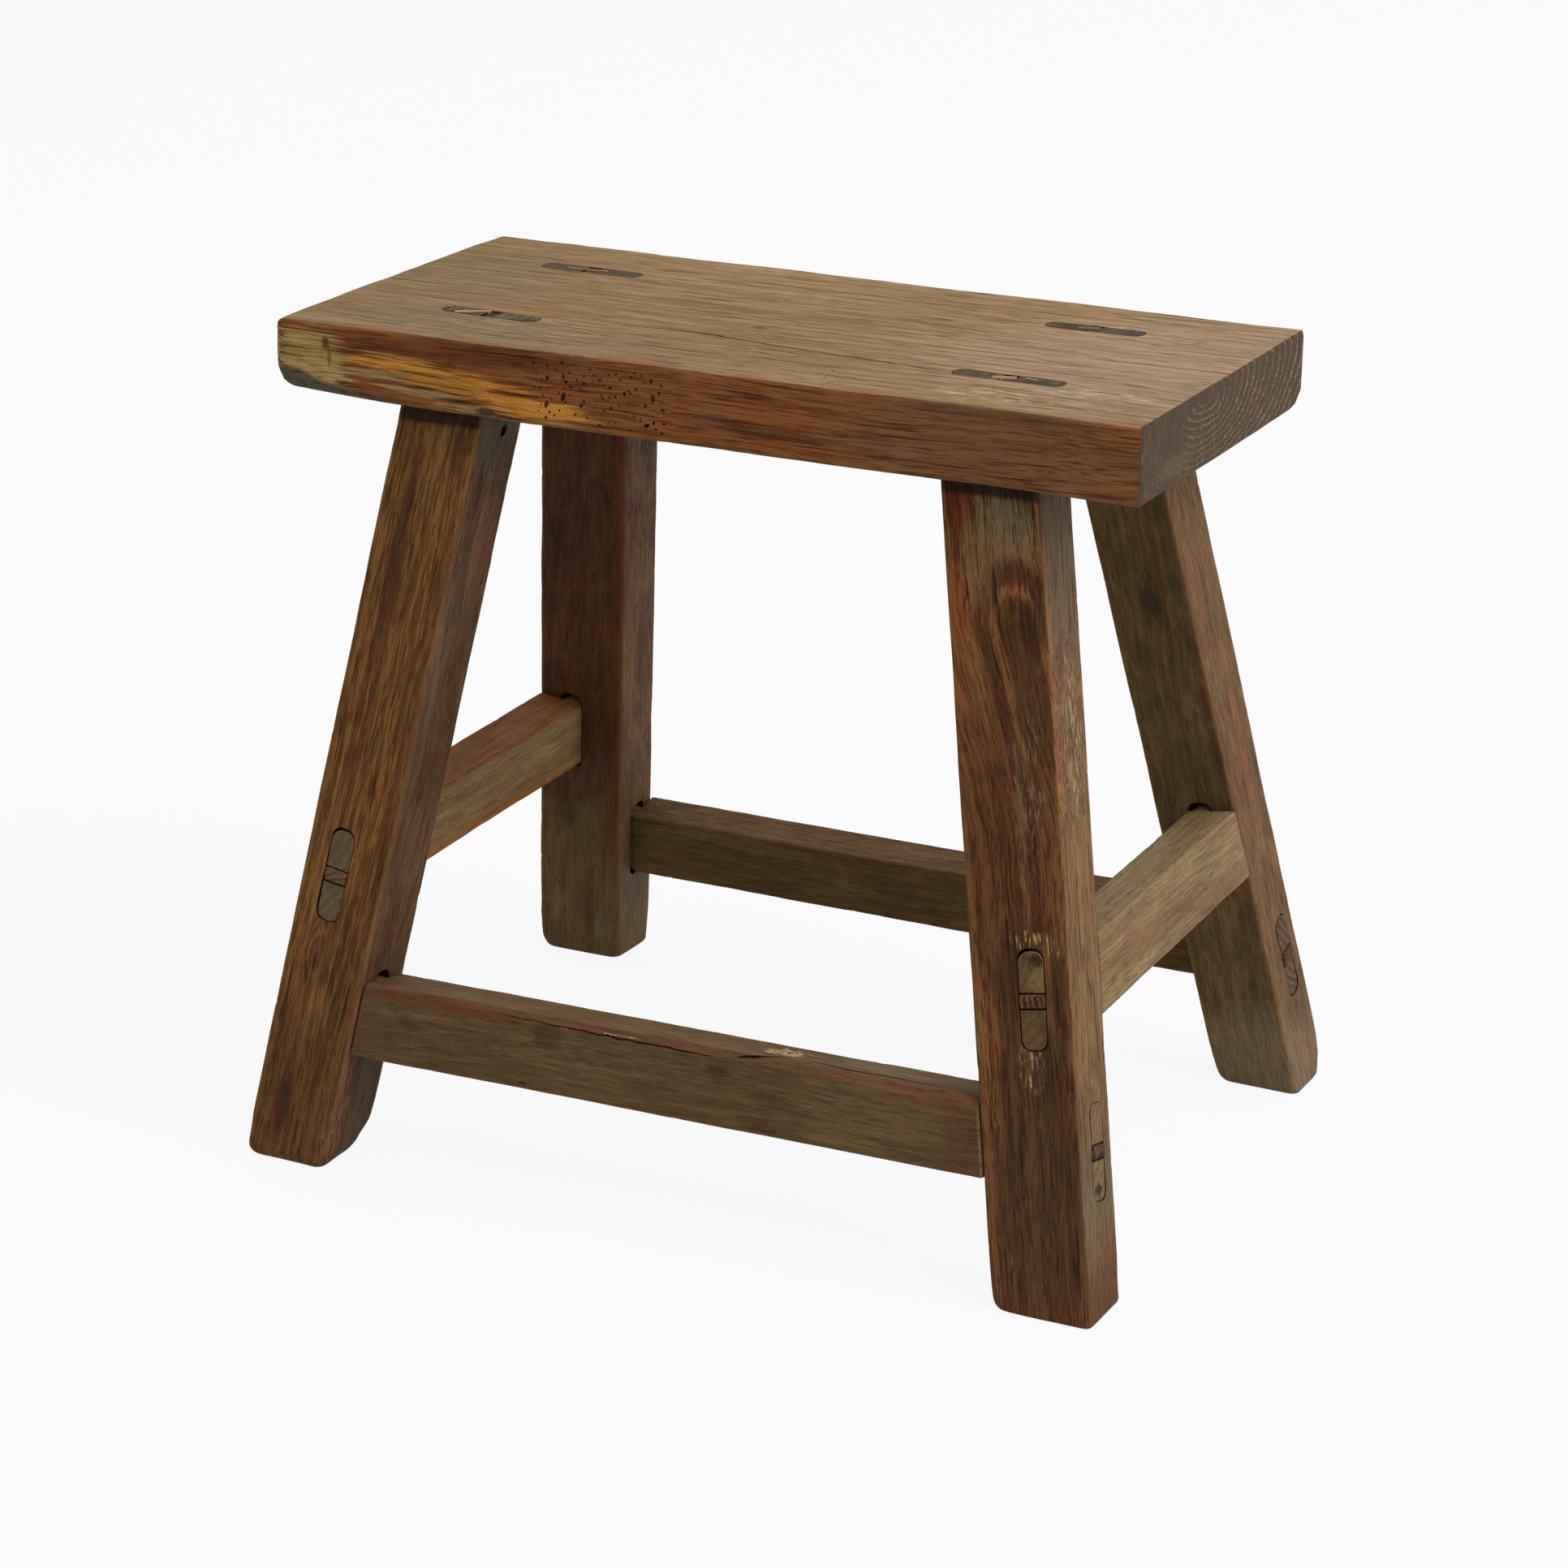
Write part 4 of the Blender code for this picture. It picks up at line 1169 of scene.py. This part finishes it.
# Seat plank
seatLook = {
    "wear": {
        "Arris": 0.0014, "Arris wear": 0.0016, "Chips": 0.0010, "Wave": 0.0007, "Tool marks": 0.00016,
        "Low ease": 0.0080, "High ease": 0.0018, "Worn roughness": 0.003, "Seed": 4.0,
    },
    "under": 0.0006, "rows": (112, 26, 250), "cornerEase": 0.0025,
    # the bark's edge that stays on two lower arrises: at the front's left, and at the back's right
    "wanes": (
        {"end": -1, "height": 0.0162, "depth": 0.0108, "length": 0.074},
        {"end": 1, "height": 0.0095, "depth": 0.0115, "length": 0.060},
    ),
    # where worms ate the top and the front; each set is a seed, a spacing, a density and two sizes
    "topPits": {
        "across": (0.024, 0.071), "depths": (-0.099, -0.080), "set": (5, 0.0042, 14000, 0.0004, 0.0008),
    },
    "pits": {
        "across": (-0.096, -0.018), "heights": (0.4235, 0.4545), "sunk": 0.0002,
        "sets": ((7, 0.0032, 90000, 0.00055, 0.00120), (12, 0.0100, 8000, 0.0011, 0.0017)),
    },
    # drying cracks in the top: width, depth, and the places that each passes
    "cracks": (
        (0.0014, 0.0030, (
            (-0.093, -0.044), (-0.029, -0.041), (0.013, -0.048), (0.068, -0.051), (0.119, -0.057),
        )),
        (0.0008, 0.0014, ((-0.240, 0.031), (-0.200, 0.034), (-0.165, 0.032))),
        (0.0008, 0.0014, ((0.020, 0.081), (0.085, 0.084), (0.130, 0.082))),
    ),
}


def planePoint(corner, up, inwards, length):
    first = corner + up
    second = corner + inwards
    third = corner + length
    normal = (second - first).cross(third - first).normalized()
    if normal.dot(corner - first) < 0:
        normal = -normal
    return first, normal


# The plank isn't quite square: each of its corners moves to where the solid's is
def skew(plank):
    span = seatHigh - seatLow
    top = [p for p in points("seat") if p.z > seatHigh.z - reading["seatTop"]]
    corners = {}
    for side in (-1, 1):
        for end in (-1, 1):
            corners[side, end] = max(top, key=lambda p: p.x * side + p.y * end)
    ease = seatLook["cornerEase"]
    for vertex in plank.data.vertices:
        a = (vertex.co.x - seatLow.x) / span.x
        b = (vertex.co.y - seatLow.y) / span.y
        low, high = [corners[side, -1].x * (1 - b) + corners[side, 1].x * b for side in (-1, 1)]
        vertex.co.x = (low - ease) * (1 - a) + (high + ease) * a
        low, high = [corners[-1, end].y * (1 - a) + corners[1, end].y * a for end in (-1, 1)]
        vertex.co.y = (low - ease) * (1 - b) + (high + ease) * b


def seatMortises():
    span = seatHigh.z - seatLow.z
    slots = []
    for node in legs:
        exit, lay = seatLay(node)
        long = legs[node]["width"] - 2 * seatJoint["relief"] + seatJoint["spread"] + 2 * seatJoint["gap"]
        size = (long, seatJoint["mortiseWidth"], span + seatJoint["overrun"])
        centred = Lay(exit - lay.along * span / 2, xAxis, yAxis, lay.along)
        # The slot's walls take the grime material: dirt and painted shade in the joint's gap
        slots.append(hewn(node + "_slot", centred, size, (24, 12, 10), {
            "Arris": seatJoint["mortiseCorner"], "Wave": 0.0004, "Seed": 2.0 + len(slots), "Material": grime,
        }))
    return slots


def seatPits():
    front = seatLow.y + seatLook["pits"]["sunk"]
    level = seatHigh.z - seatLook["under"]
    corners = ((0, 0), (1, 0), (1, 1), (0, 1))
    across, heights = seatLook["pits"]["across"], seatLook["pits"]["heights"]
    onFront = [(across[i], front, heights[j]) for i, j in corners]
    across, depths = seatLook["topPits"]["across"], seatLook["topPits"]["depths"]
    onTop = [(across[i], depths[j], level) for i, j in corners]
    fields = [(onFront, facts) for facts in seatLook["pits"]["sets"]] + [(onTop, seatLook["topPits"]["set"])]
    tools = []
    for face, (seed, spacing, crowding, smallest, largest) in fields:
        tools.append(pits("pits" + str(seed), face, {
            "Spacing": spacing, "Crowding": crowding, "Smallest": smallest, "Largest": largest, "Seed": seed,
            "Material": pitGrime,
        }))
    return tools


def seatCracks():
    tools = []
    for index, (width, depth, stations) in enumerate(seatLook["cracks"]):
        line = [(x, y, seatHigh.z - seatLook["under"]) for x, y in stations]
        tools.append(crack("crack" + str(index), line, width, depth, 3.0 + index, grime))
    return tools


def makeSeat():
    span = seatHigh - seatLow
    centre = (seatLow + seatHigh) / 2 - zAxis * (seatLook["under"] + seatJoint["below"]) / 2
    size = Vector((span.y, span.z - seatLook["under"] + seatJoint["below"], span.x))
    lay = Lay(centre, yAxis, zAxis, xAxis)
    material = elmWood("seatWood", "seat", lay, size, seatWood)
    half = size / 2
    worn = []
    for wane in seatLook["wanes"]:
        end = wane["end"]
        worn.append(planePoint(
            Vector((end * half.x, -half.y, end * half.z)), yAxis * wane["height"],
            xAxis * (-end * wane["depth"]), zAxis * (-end * wane["length"]),
        ))
    given = {**seatLook["wear"], "Material": material, **wornPlanes(worn)}
    plank = hewn("seatPlank", lay, size, seatLook["rows"], given)
    skew(plank)
    carve(plank, seatMortises() + seatPits() + seatCracks())
    return finished(plank, "seat")


# Legs
legRows = (28, 24, 300)
legLook = {
    "Arris": 0.0013, "Arris wear": 0.0017, "Chips": 0.0009, "End wear": 0.0038, "End wear reach": 0.026,
    "Low ease": 0.0036, "Wave": 0.0006, "Tool marks": 0.00014, "Worn roughness": 0.003,
}

# What differs in a leg's own wear
legChanges = {
    "front_left_leg": {"Low ease": 0.0088},
    "front_right_leg": {"Arris": 0.0010, "Arris wear": 0.0010, "End wear": 0.0010, "Low ease": 0.0034},
}

# Planes that wear has left on a leg: what each passes, counted from a lower corner of the leg
legWear = {
    "front_left_leg": (
        {"corner": (1, -1), "above": 0.020, "up": 0.055, "across": 0.0062, "through": 0.0062},
        {"corner": (1, 1), "above": 0.0, "up": 0.016, "across": 0.011, "through": 0.022},
    ),
    "front_right_leg": (
        {"corner": (-1, -1), "above": 0.0, "up": 0.006, "across": 0.005, "through": 0.006},
        {"corner": (1, -1), "above": 0.0, "up": 0.005, "across": 0.003, "through": 0.004},
    ),
    "back_left_leg": (
        {"corner": (1, -1), "above": 0.0, "up": 0.006, "across": 0.004, "through": 0.005},
        {"corner": (-1, -1), "above": 0.0, "up": 0.009, "across": 0.007, "through": 0.010},
    ),
    "back_right_leg": (
        {"corner": (1, 1), "above": 0.0, "up": 0.014, "across": 0.009, "through": 0.012},
        {"corner": (-1, -1), "above": 0.0, "up": 0.007, "across": 0.006, "through": 0.006},
    ),
}

# A nail's old hole near the top of one leg: a face, an offset, a height, and the hole's size
legHoles = {"front_left_leg": (("right", 0.0038, 0.4010, (0.0054, 0.0056, 0.006)),)}

# Pale slips of wood in some seat joints: where each runs, its width
legSlips = {
    "front_left_leg": (((-0.1765, -0.0588), (-0.1585, -0.0492), 0.0030),),
    "front_right_leg": (
        ((0.1405, -0.0568), (0.1530, -0.0522), 0.0028), ((0.1570, -0.0512), (0.1650, -0.0528), 0.0013),
    ),
    "back_left_leg": (((-0.1740, 0.0600), (-0.1480, 0.0615), 0.0013),),
    "back_right_leg": (((0.1380, 0.0595), (0.1500, 0.0630), 0.0040),),
}
slipLook = {"sunk": 0.0012, "thickness": 0.0022, "rows": (8, 6, 30)}
slipWood = {
    "wood": (204, 170, 122), "deep": (150, 116, 76), "warm": (190, 148, 98),
    "dusting": 0.0, "edgeWear": 0.0, "fibres": 0.4, "pores": 0.2,
}
slipWoods = {"back_right_leg": {"wood": (126, 114, 98), "warm": (118, 98, 76), "deep": (70, 60, 50)}}

# Stretchers: outward is the way that the flush face looks
stretchers = {
    "front_stretcher": {
        "legs": ("front_left_leg", "front_right_leg"), "outward": -yAxis, "ends": ("left", "right"),
        "level": 0.0870, "height": 0.0415, "thickness": 0.0410, "bareFaced": False, "seed": 41.0,
        "wornArris": (0.0022, 0.0058),  # how deep, at the left and at the right
        # torn fibres: their line's stations, each a height, out and up, and what differs in them
        "torn": (
            (((0.238, 0.0060, 0.0206), (0.247, -0.0010, 0.0206), (0.255, -0.0075, 0.0206)), {
                "Spread": 0.0036, "Seed": 3, "Step": 0.0007, "Thickness": 0.0006, "Length": 0.007,
            }),
            (((0.150, 0.0200, 0.0180), (0.158, 0.0200, 0.0180), (0.166, 0.0200, 0.0180)), {
                "Spread": 0.0006, "Seed": 8, "Step": 0.0016, "Thickness": 0.0004, "Length": 0.007,
            }),
        ),
        # cracks: a blade's two sizes, how far it wavers, and its stations, each a height, out and up
        "cracks": (
            (0.0024, 0.0030, 0.0010, (
                (0.2280, 0.0190, 0.0180), (0.2370, 0.0168, 0.0194), (0.2455, 0.0142, 0.0204),
                (0.2520, 0.0100, 0.0208),
            )),
            (0.0020, 0.0026, 0.0012, (
                (0.2635, 0.0190, 0.0174), (0.2655, 0.0125, 0.0206), (0.269, 0.0080, 0.0208),
                (0.289, 0.0115, 0.0208), (0.315, 0.0106, 0.0208), (0.340, 0.0118, 0.0206),
            )),
            (0.0030, 0.0005, 0.0012, (
                (0.078, 0.0205, 0.0176), (0.120, 0.0205, 0.0172), (0.165, 0.0205, 0.0166),
                (0.232, 0.0205, 0.0162),
            )),
        ),
    },
    "back_stretcher": {
        "legs": ("back_left_leg", "back_right_leg"), "outward": yAxis, "ends": ("left", "right"),
        "level": 0.0870, "height": 0.0415, "thickness": 0.0245, "bareFaced": True, "seed": 43.0,
    },
    "left_stretcher": {
        "legs": ("front_left_leg", "back_left_leg"), "outward": -xAxis, "ends": ("front", "back"),
        "level": 0.1645, "height": 0.0415, "thickness": 0.0280, "bareFaced": True, "seed": 47.0,
    },
    "right_stretcher": {
        "legs": ("front_right_leg", "back_right_leg"), "outward": xAxis, "ends": ("front", "back"),
        "level": 0.1645, "height": 0.0415, "thickness": 0.0290, "bareFaced": True, "seed": 53.0,
    },
}

stretcherRows = (20, 18, 250)
stretcherLook = {
    "Arris": 0.0016, "Arris wear": 0.0014, "Wave": 0.0005, "Tool marks": 0.00012, "Chips": 0.0007,
    "Low ease": 0.0009, "High ease": 0.0009, "Worn roughness": 0.0012, "Worn softness": 0.0007,
}

legJoint = {
    "mortiseWidth": 0.0152, "gap": 0.0008, "relief": 0.0007, "spread": 0.0090, "mortiseCorner": 0.0058,
    "tongueCorner": 0.0050, "tongueInto": 0.012, "overrun": 0.010, "proud": 0.0014, "crescent": 0.0011,
    # the kerf's width, depth and flare, and how far its cut runs past the tenon
    "kerf": 0.0056, "kerfDepth": 0.034, "kerfFlare": 1.5, "kerfPast": 0.004, "kerfSides": 0.002,
    "wedgeDepth": 0.032, "wedgeFlare": 1.25,
}


# Where a stretcher lies: its line, its tenons' line, and the faces that its ends meet
def layStretcher(node):
    facts = stretchers[node]
    outward = facts["outward"]
    near, far = [legs[leg] for leg in facts["legs"]]

    def axisPoint(leg):
        return leg["foot"] + leg["along"] * facts["level"]

    def reach(leg, way):
        return way * ((leg["width"] if way.x else leg["depth"]) / 2)

    starts = [axisPoint(leg) + reach(leg, outward) for leg in (near, far)]
    run = (starts[1] - starts[0]).normalized()
    lean = near["along"].normalized() + far["along"].normalized()
    up = (lean - run * lean.dot(run)).normalized()
    through = run.cross(up)
    inward = through if through.dot(outward) < 0 else -through
    width = legJoint["mortiseWidth"]
    fromOutside = facts["thickness"] / 2
    if facts["bareFaced"]:
        fromOutside = facts["thickness"] - legJoint["relief"] - width / 2 + legJoint["gap"]
    forward = xAxis if outward.y else yAxis
    ends = []
    for leg, way in ((near, forward), (far, -forward)):
        normal = leg["along"].cross(outward).normalized()
        inner = axisPoint(leg) + reach(leg, way)
        outer = axisPoint(leg) - reach(leg, way)
        ends.append({"inner": inner, "outer": outer, "normal": normal, "way": way})
    body = starts[0] + inward * (facts["thickness"] / 2)
    core = starts[0] + inward * fromOutside
    return {
        "run": run, "up": up, "through": through, "inward": inward, "body": body, "core": core,
        "ends": ends,
    }


laid = {node: layStretcher(node) for node in stretchers}


# The part of a joint that lies between two faces, as a block along the tenon
def jointBlock(name, lay, end, low, high, size, given):
    start = onPlane(lay["core"], lay["run"], low, end["normal"])
    stop = onPlane(lay["core"], lay["run"], high, end["normal"])
    if (stop - start).dot(lay["run"]) < 0:
        start, stop = stop, start
    block = Lay((start + stop) / 2, lay["up"], lay["through"], lay["run"])
    slope = block.slope(end["normal"])
    values = {"Low slope": slope, "High slope": slope, **given}
    return hewn(name, block, (size[0], size[1], (stop - start).length), (24, 12, size[2]), values)


def legMortises(node):
    tools = []
    for name, facts in stretchers.items():
        if node not in facts["legs"]:
            continue
        lay = laid[name]
        end = lay["ends"][facts["legs"].index(node)]
        over = end["way"] * legJoint["overrun"]
        long = facts["height"] - 2 * legJoint["relief"] + legJoint["spread"] + 2 * legJoint["gap"]
        crescent = legJoint["crescent"] if facts["outward"].x and node.startswith("front") else 0.0
        raised = {**lay, "core": lay["core"] + lay["up"] * crescent / 2}
        # The slot's walls take the grime material: dirt and painted shade in the joint's gap
        tools.append(jointBlock(
            name + "_slot", raised, end, end["inner"] + over, end["outer"] - over,
            (long + crescent, legJoint["mortiseWidth"], 20),
            {"Arris": legJoint["mortiseCorner"], "Wave": 0.0004, "Seed": facts["seed"], "Material": grime},
        ))
    return tools


def legPlanes(node, height):
    leg = legs[node]
    planes = []
    for cut in legWear[node]:
        signX, signY = cut["corner"]
        corner = Vector((signX * leg["width"] / 2, signY * leg["depth"] / 2, cut["above"] - height / 2))
        planes.append(planePoint(
            corner, zAxis * cut["up"], xAxis * (-signX * cut["across"]), yAxis * (-signY * cut["through"]),
        ))
    return planes


def nailHoles(node, seed):
    leg = legs[node]
    holes = []
    for face, offset, height, (long, tall, deep) in legHoles.get(node, ()):
        sign = faceSides["leg"][face][1]
        place = leg["foot"] + leg["along"] * height + yAxis * offset + xAxis * (sign * leg["width"] / 2)
        lay = Lay(place, yAxis, -xAxis, leg["along"])
        holes.append(hewn(node + "_hole", lay, (long, deep, tall), (6, 6, 8), {
            "Arris": 0.0008, "Wave": 0.0005, "Low ease": 0.0008, "High ease": 0.0008, "Seed": seed,
            "Material": grime,
        }))
    return holes


def addSlips(node, body, seed):
    level = seatHigh.z - slipLook["sunk"]
    for index, (start, stop, width) in enumerate(legSlips[node]):
        ends = [Vector((*place, level)) for place in (start, stop)]
        way = (ends[1] - ends[0]).normalized()
        lay = Lay((ends[0] + ends[1]) / 2, zAxis.cross(way), zAxis, way)
        size = (width, slipLook["thickness"], (ends[1] - ends[0]).length)
        name = node + "_slip" + str(index)
        look = {**slipWood, **slipWoods.get(node, {}), "seed": seed + 70}
        joinInto(body, hewn(name, lay, size, slipLook["rows"], {
            "Arris": 0.0003, "Arris wear": 0.0005, "Chips": 0.0003, "Wave": 0.0006, "Low ease": 0.0008,
            "High ease": 0.0008, "Taper": -0.3, "Seed": seed + index,
            "Material": elmWood(name + "_wood", "leg", lay, size, look),
        }))


def addSeatTenon(node, body, material, seed):
    exit, lay = seatLay(node)
    low = seatLow.z - seatJoint["tongueInto"]
    high = seatHigh.z - seatJoint["recess"]
    atHigh = exit + lay.along * (high - exit.z)
    atLow = exit + lay.along * (low - exit.z)
    long = legs[node]["width"] - 2 * seatJoint["relief"]
    spread = seatJoint["spread"]
    thick = seatJoint["mortiseWidth"] - 2 * seatJoint["gap"]
    tongueLay = Lay((atLow + atHigh) / 2, xAxis, yAxis, lay.along)
    tongue = hewn(node + "_tongue", tongueLay, (long + spread / 2, thick, high - low), (30, 12, 14), {
        "Arris": seatJoint["tongueCorner"], "Taper": spread / long, "Seed": seed, "Wave": 0.0003,
        "Material": material,
    })
    carve(body, [tongue], "UNION")
    top = atHigh + lay.along * seatJoint["kerfPast"]
    bottom = exit - lay.along * seatJoint["kerfDepth"]
    size = (seatJoint["kerf"], seatJoint["mortiseWidth"] + seatJoint["kerfSides"], (top - bottom).z)
    return hewn(node + "_kerf", Lay((top + bottom) / 2, xAxis, yAxis, lay.along), size, (4, 6, 6), {
        "Arris": 0.0002, "Taper": seatJoint["kerfFlare"], "Material": grime,
    })


def makeSeatWedge(node, seed):
    exit, lay = seatLay(node)
    top = exit - lay.along * seatJoint["wedgeSunk"]
    bottom = exit - lay.along * seatJoint["kerfDepth"]
    wedgeLay = Lay((top + bottom + lay.along * seatJoint["wedgeShort"]) / 2, xAxis, yAxis, lay.along)
    size = (
        seatJoint["kerf"] - 2 * seatJoint["gap"], seatJoint["mortiseWidth"] - 2 * seatJoint["gap"],
        (top - bottom).z - seatJoint["wedgeShort"],
    )
    makeWedge(node + "_wedge", wedgeLay, size, seed, {"Taper": seatJoint["wedgeFlare"]})


def makeLeg(node):
    leg = legs[node]
    seed = legWoods[node]["seed"]
    top = seatLow.z - seatJoint["below"] - seatJoint["clear"]
    lay = Lay(leg["foot"] + leg["along"] * (top / 2), xAxis, yAxis, leg["along"])
    size = (leg["width"], leg["depth"], top)
    material = elmWood(node + "_wood", "leg", lay, size, {**legWood, **legWoods[node]})
    given = {**legLook, **legChanges.get(node, {}), **wornPlanes(legPlanes(node, top))}
    given.update({"Seed": seed, "Material": material})
    body = hewn(node.replace("_", "-"), lay, size, legRows, given)
    kerf = addSeatTenon(node, body, material, seed)
    carve(body, [kerf] + nailHoles(node, seed) + legMortises(node))
    addSlips(node, body, seed)
    finished(body, node)
    makeSeatWedge(node, seed)


def makeWedge(node, lay, size, seed, given):
    look = {**wedgeWood, **wedgeWoods.get(node, {}), "seed": seed + 50}
    piece = hewn(node.replace("_", "-"), lay, size, (14, 16, 24), {
        "Arris": 0.0005, "Seed": seed, "Tool marks": 0.0002, "Wave": 0.0001, "High ease": 0.0006,
        "Material": elmWood(node + "_wood", "leg", lay, size, look), **given,
    })
    finished(piece, node)


# The plane that wear has left along the upper outer arris
def wornArris(facts, lay, length):
    left, right = facts["wornArris"]
    outward = -1 if lay["inward"].dot(lay["through"]) > 0 else 1
    high = facts["height"] / 2
    side = outward * facts["thickness"] / 2
    one = Vector((high, side - outward * left, -length / 2))
    two = Vector((high - left, side, -length / 2))
    three = Vector((high, side - outward * right, length / 2))
    normal = (two - one).cross(three - one).normalized()
    if normal.dot(Vector((high, side, 0)) - one) < 0:
        normal = -normal
    return one, normal


def addTenon(node, body, end, sign, material):
    facts = stretchers[node]
    lay = laid[node]
    long = facts["height"] - 2 * legJoint["relief"]
    spread = legJoint["spread"]
    thick = legJoint["mortiseWidth"] - 2 * legJoint["gap"]
    inside = end["inner"] + end["way"] * legJoint["tongueInto"]
    tongue = jointBlock(node + "_tongue", lay, end, inside, end["outer"], (long + spread / 2, thick, 22), {
        "Arris": legJoint["tongueCorner"], "Taper": spread / long * sign, "Seed": facts["seed"] + 1,
        "Material": material, "Wave": 0.0002,
    })
    carve(body, [tongue], "UNION")
    deepest = end["outer"] + end["way"] * legJoint["kerfDepth"]
    past = end["outer"] - end["way"] * legJoint["kerfPast"]
    size = (legJoint["kerf"], legJoint["mortiseWidth"] + legJoint["kerfSides"], 6)
    given = {"Arris": 0.0002, "Taper": legJoint["kerfFlare"] * sign, "Material": grime}
    carve(body, [jointBlock(node + "_kerf", lay, end, deepest, past, size, given)])


def makeStretcher(node):
    facts = stretchers[node]
    lay = laid[node]
    near, far = lay["ends"]
    start = onPlane(lay["body"], lay["run"], near["inner"], near["normal"]) + lay["run"] * legJoint["gap"]
    stop = onPlane(lay["body"], lay["run"], far["inner"], far["normal"]) - lay["run"] * legJoint["gap"]
    block = Lay((start + stop) / 2, lay["up"], lay["through"], lay["run"])
    length = (stop - start).length
    size = (facts["height"], facts["thickness"], length)
    material = elmWood(node + "_wood", "stretcher", block, size, stretcherWoods[node])
    given = {
        **stretcherLook, "Seed": facts["seed"], "Material": material,
        "Low slope": block.slope(near["normal"]), "High slope": block.slope(far["normal"]),
    }
    if "wornArris" in facts:
        given.update(wornPlanes([wornArris(facts, lay, length)]))
    body = hewn(node.replace("_", "-"), block, size, stretcherRows, given)

    def onBlock(height, out, up):
        return block.origin + lay["through"] * out + lay["up"] * up + lay["run"] * (height - length / 2)

    cuts = []
    for index, (width, depth, waver, stations) in enumerate(facts.get("cracks", ())):
        line = [onBlock(*station) for station in stations]
        cuts.append(crack(node + "_crack" + str(index), line, width, depth, 5.0 + index, grime, waver))
    if cuts:
        carve(body, cuts)
    for end, side, sign in zip((near, far), facts["ends"], (-1, 1)):
        addTenon(node, body, end, sign, material)
        makeStretcherWedge(node + "_" + side + "_wedge", lay, end, sign, facts["seed"] + sign)
    for index, (stations, given) in enumerate(facts.get("torn", ())):
        line = [onBlock(*station) for station in stations]
        joinInto(body, torn(node + "_torn" + str(index), line, {"Way": lay["run"], **given}, paintedLightSplinterWood))
    finished(body, node)


# A wedge is as wide as its kerf at its own middle, less the gaps
def makeStretcherWedge(node, lay, end, sign, seed):
    deepest = end["outer"] + end["way"] * legJoint["wedgeDepth"]
    start = onPlane(lay["core"], lay["run"], deepest, end["normal"])
    stop = onPlane(lay["core"], lay["run"], end["outer"] - end["way"] * legJoint["proud"], end["normal"])
    block = Lay((start + stop) / 2, lay["up"] * sign, lay["through"], lay["run"] * sign)
    slope = block.slope(end["normal"])
    length = (stop - start).length
    kerfLong = legJoint["kerfDepth"] + legJoint["kerfPast"]
    toMiddle = (length / 2 - kerfLong / 2 + legJoint["kerfPast"]) / kerfLong
    width = legJoint["kerf"] * (1 + legJoint["kerfFlare"] * toMiddle) - 2 * legJoint["gap"]
    size = (width, legJoint["mortiseWidth"] - 2 * legJoint["gap"], length)
    given = {"Taper": legJoint["wedgeFlare"], "Low slope": slope, "High slope": slope}
    makeWedge(node, block, size, seed, given)


makeSeat()
print("seat made")
for node in legs:
    makeLeg(node)
print("legs made")
for node in stretchers:
    makeStretcher(node)
print("stretchers made")

bpy.context.scene.view_settings.view_transform = "Standard"
bpy.context.view_layer.update()
print("scene ready")
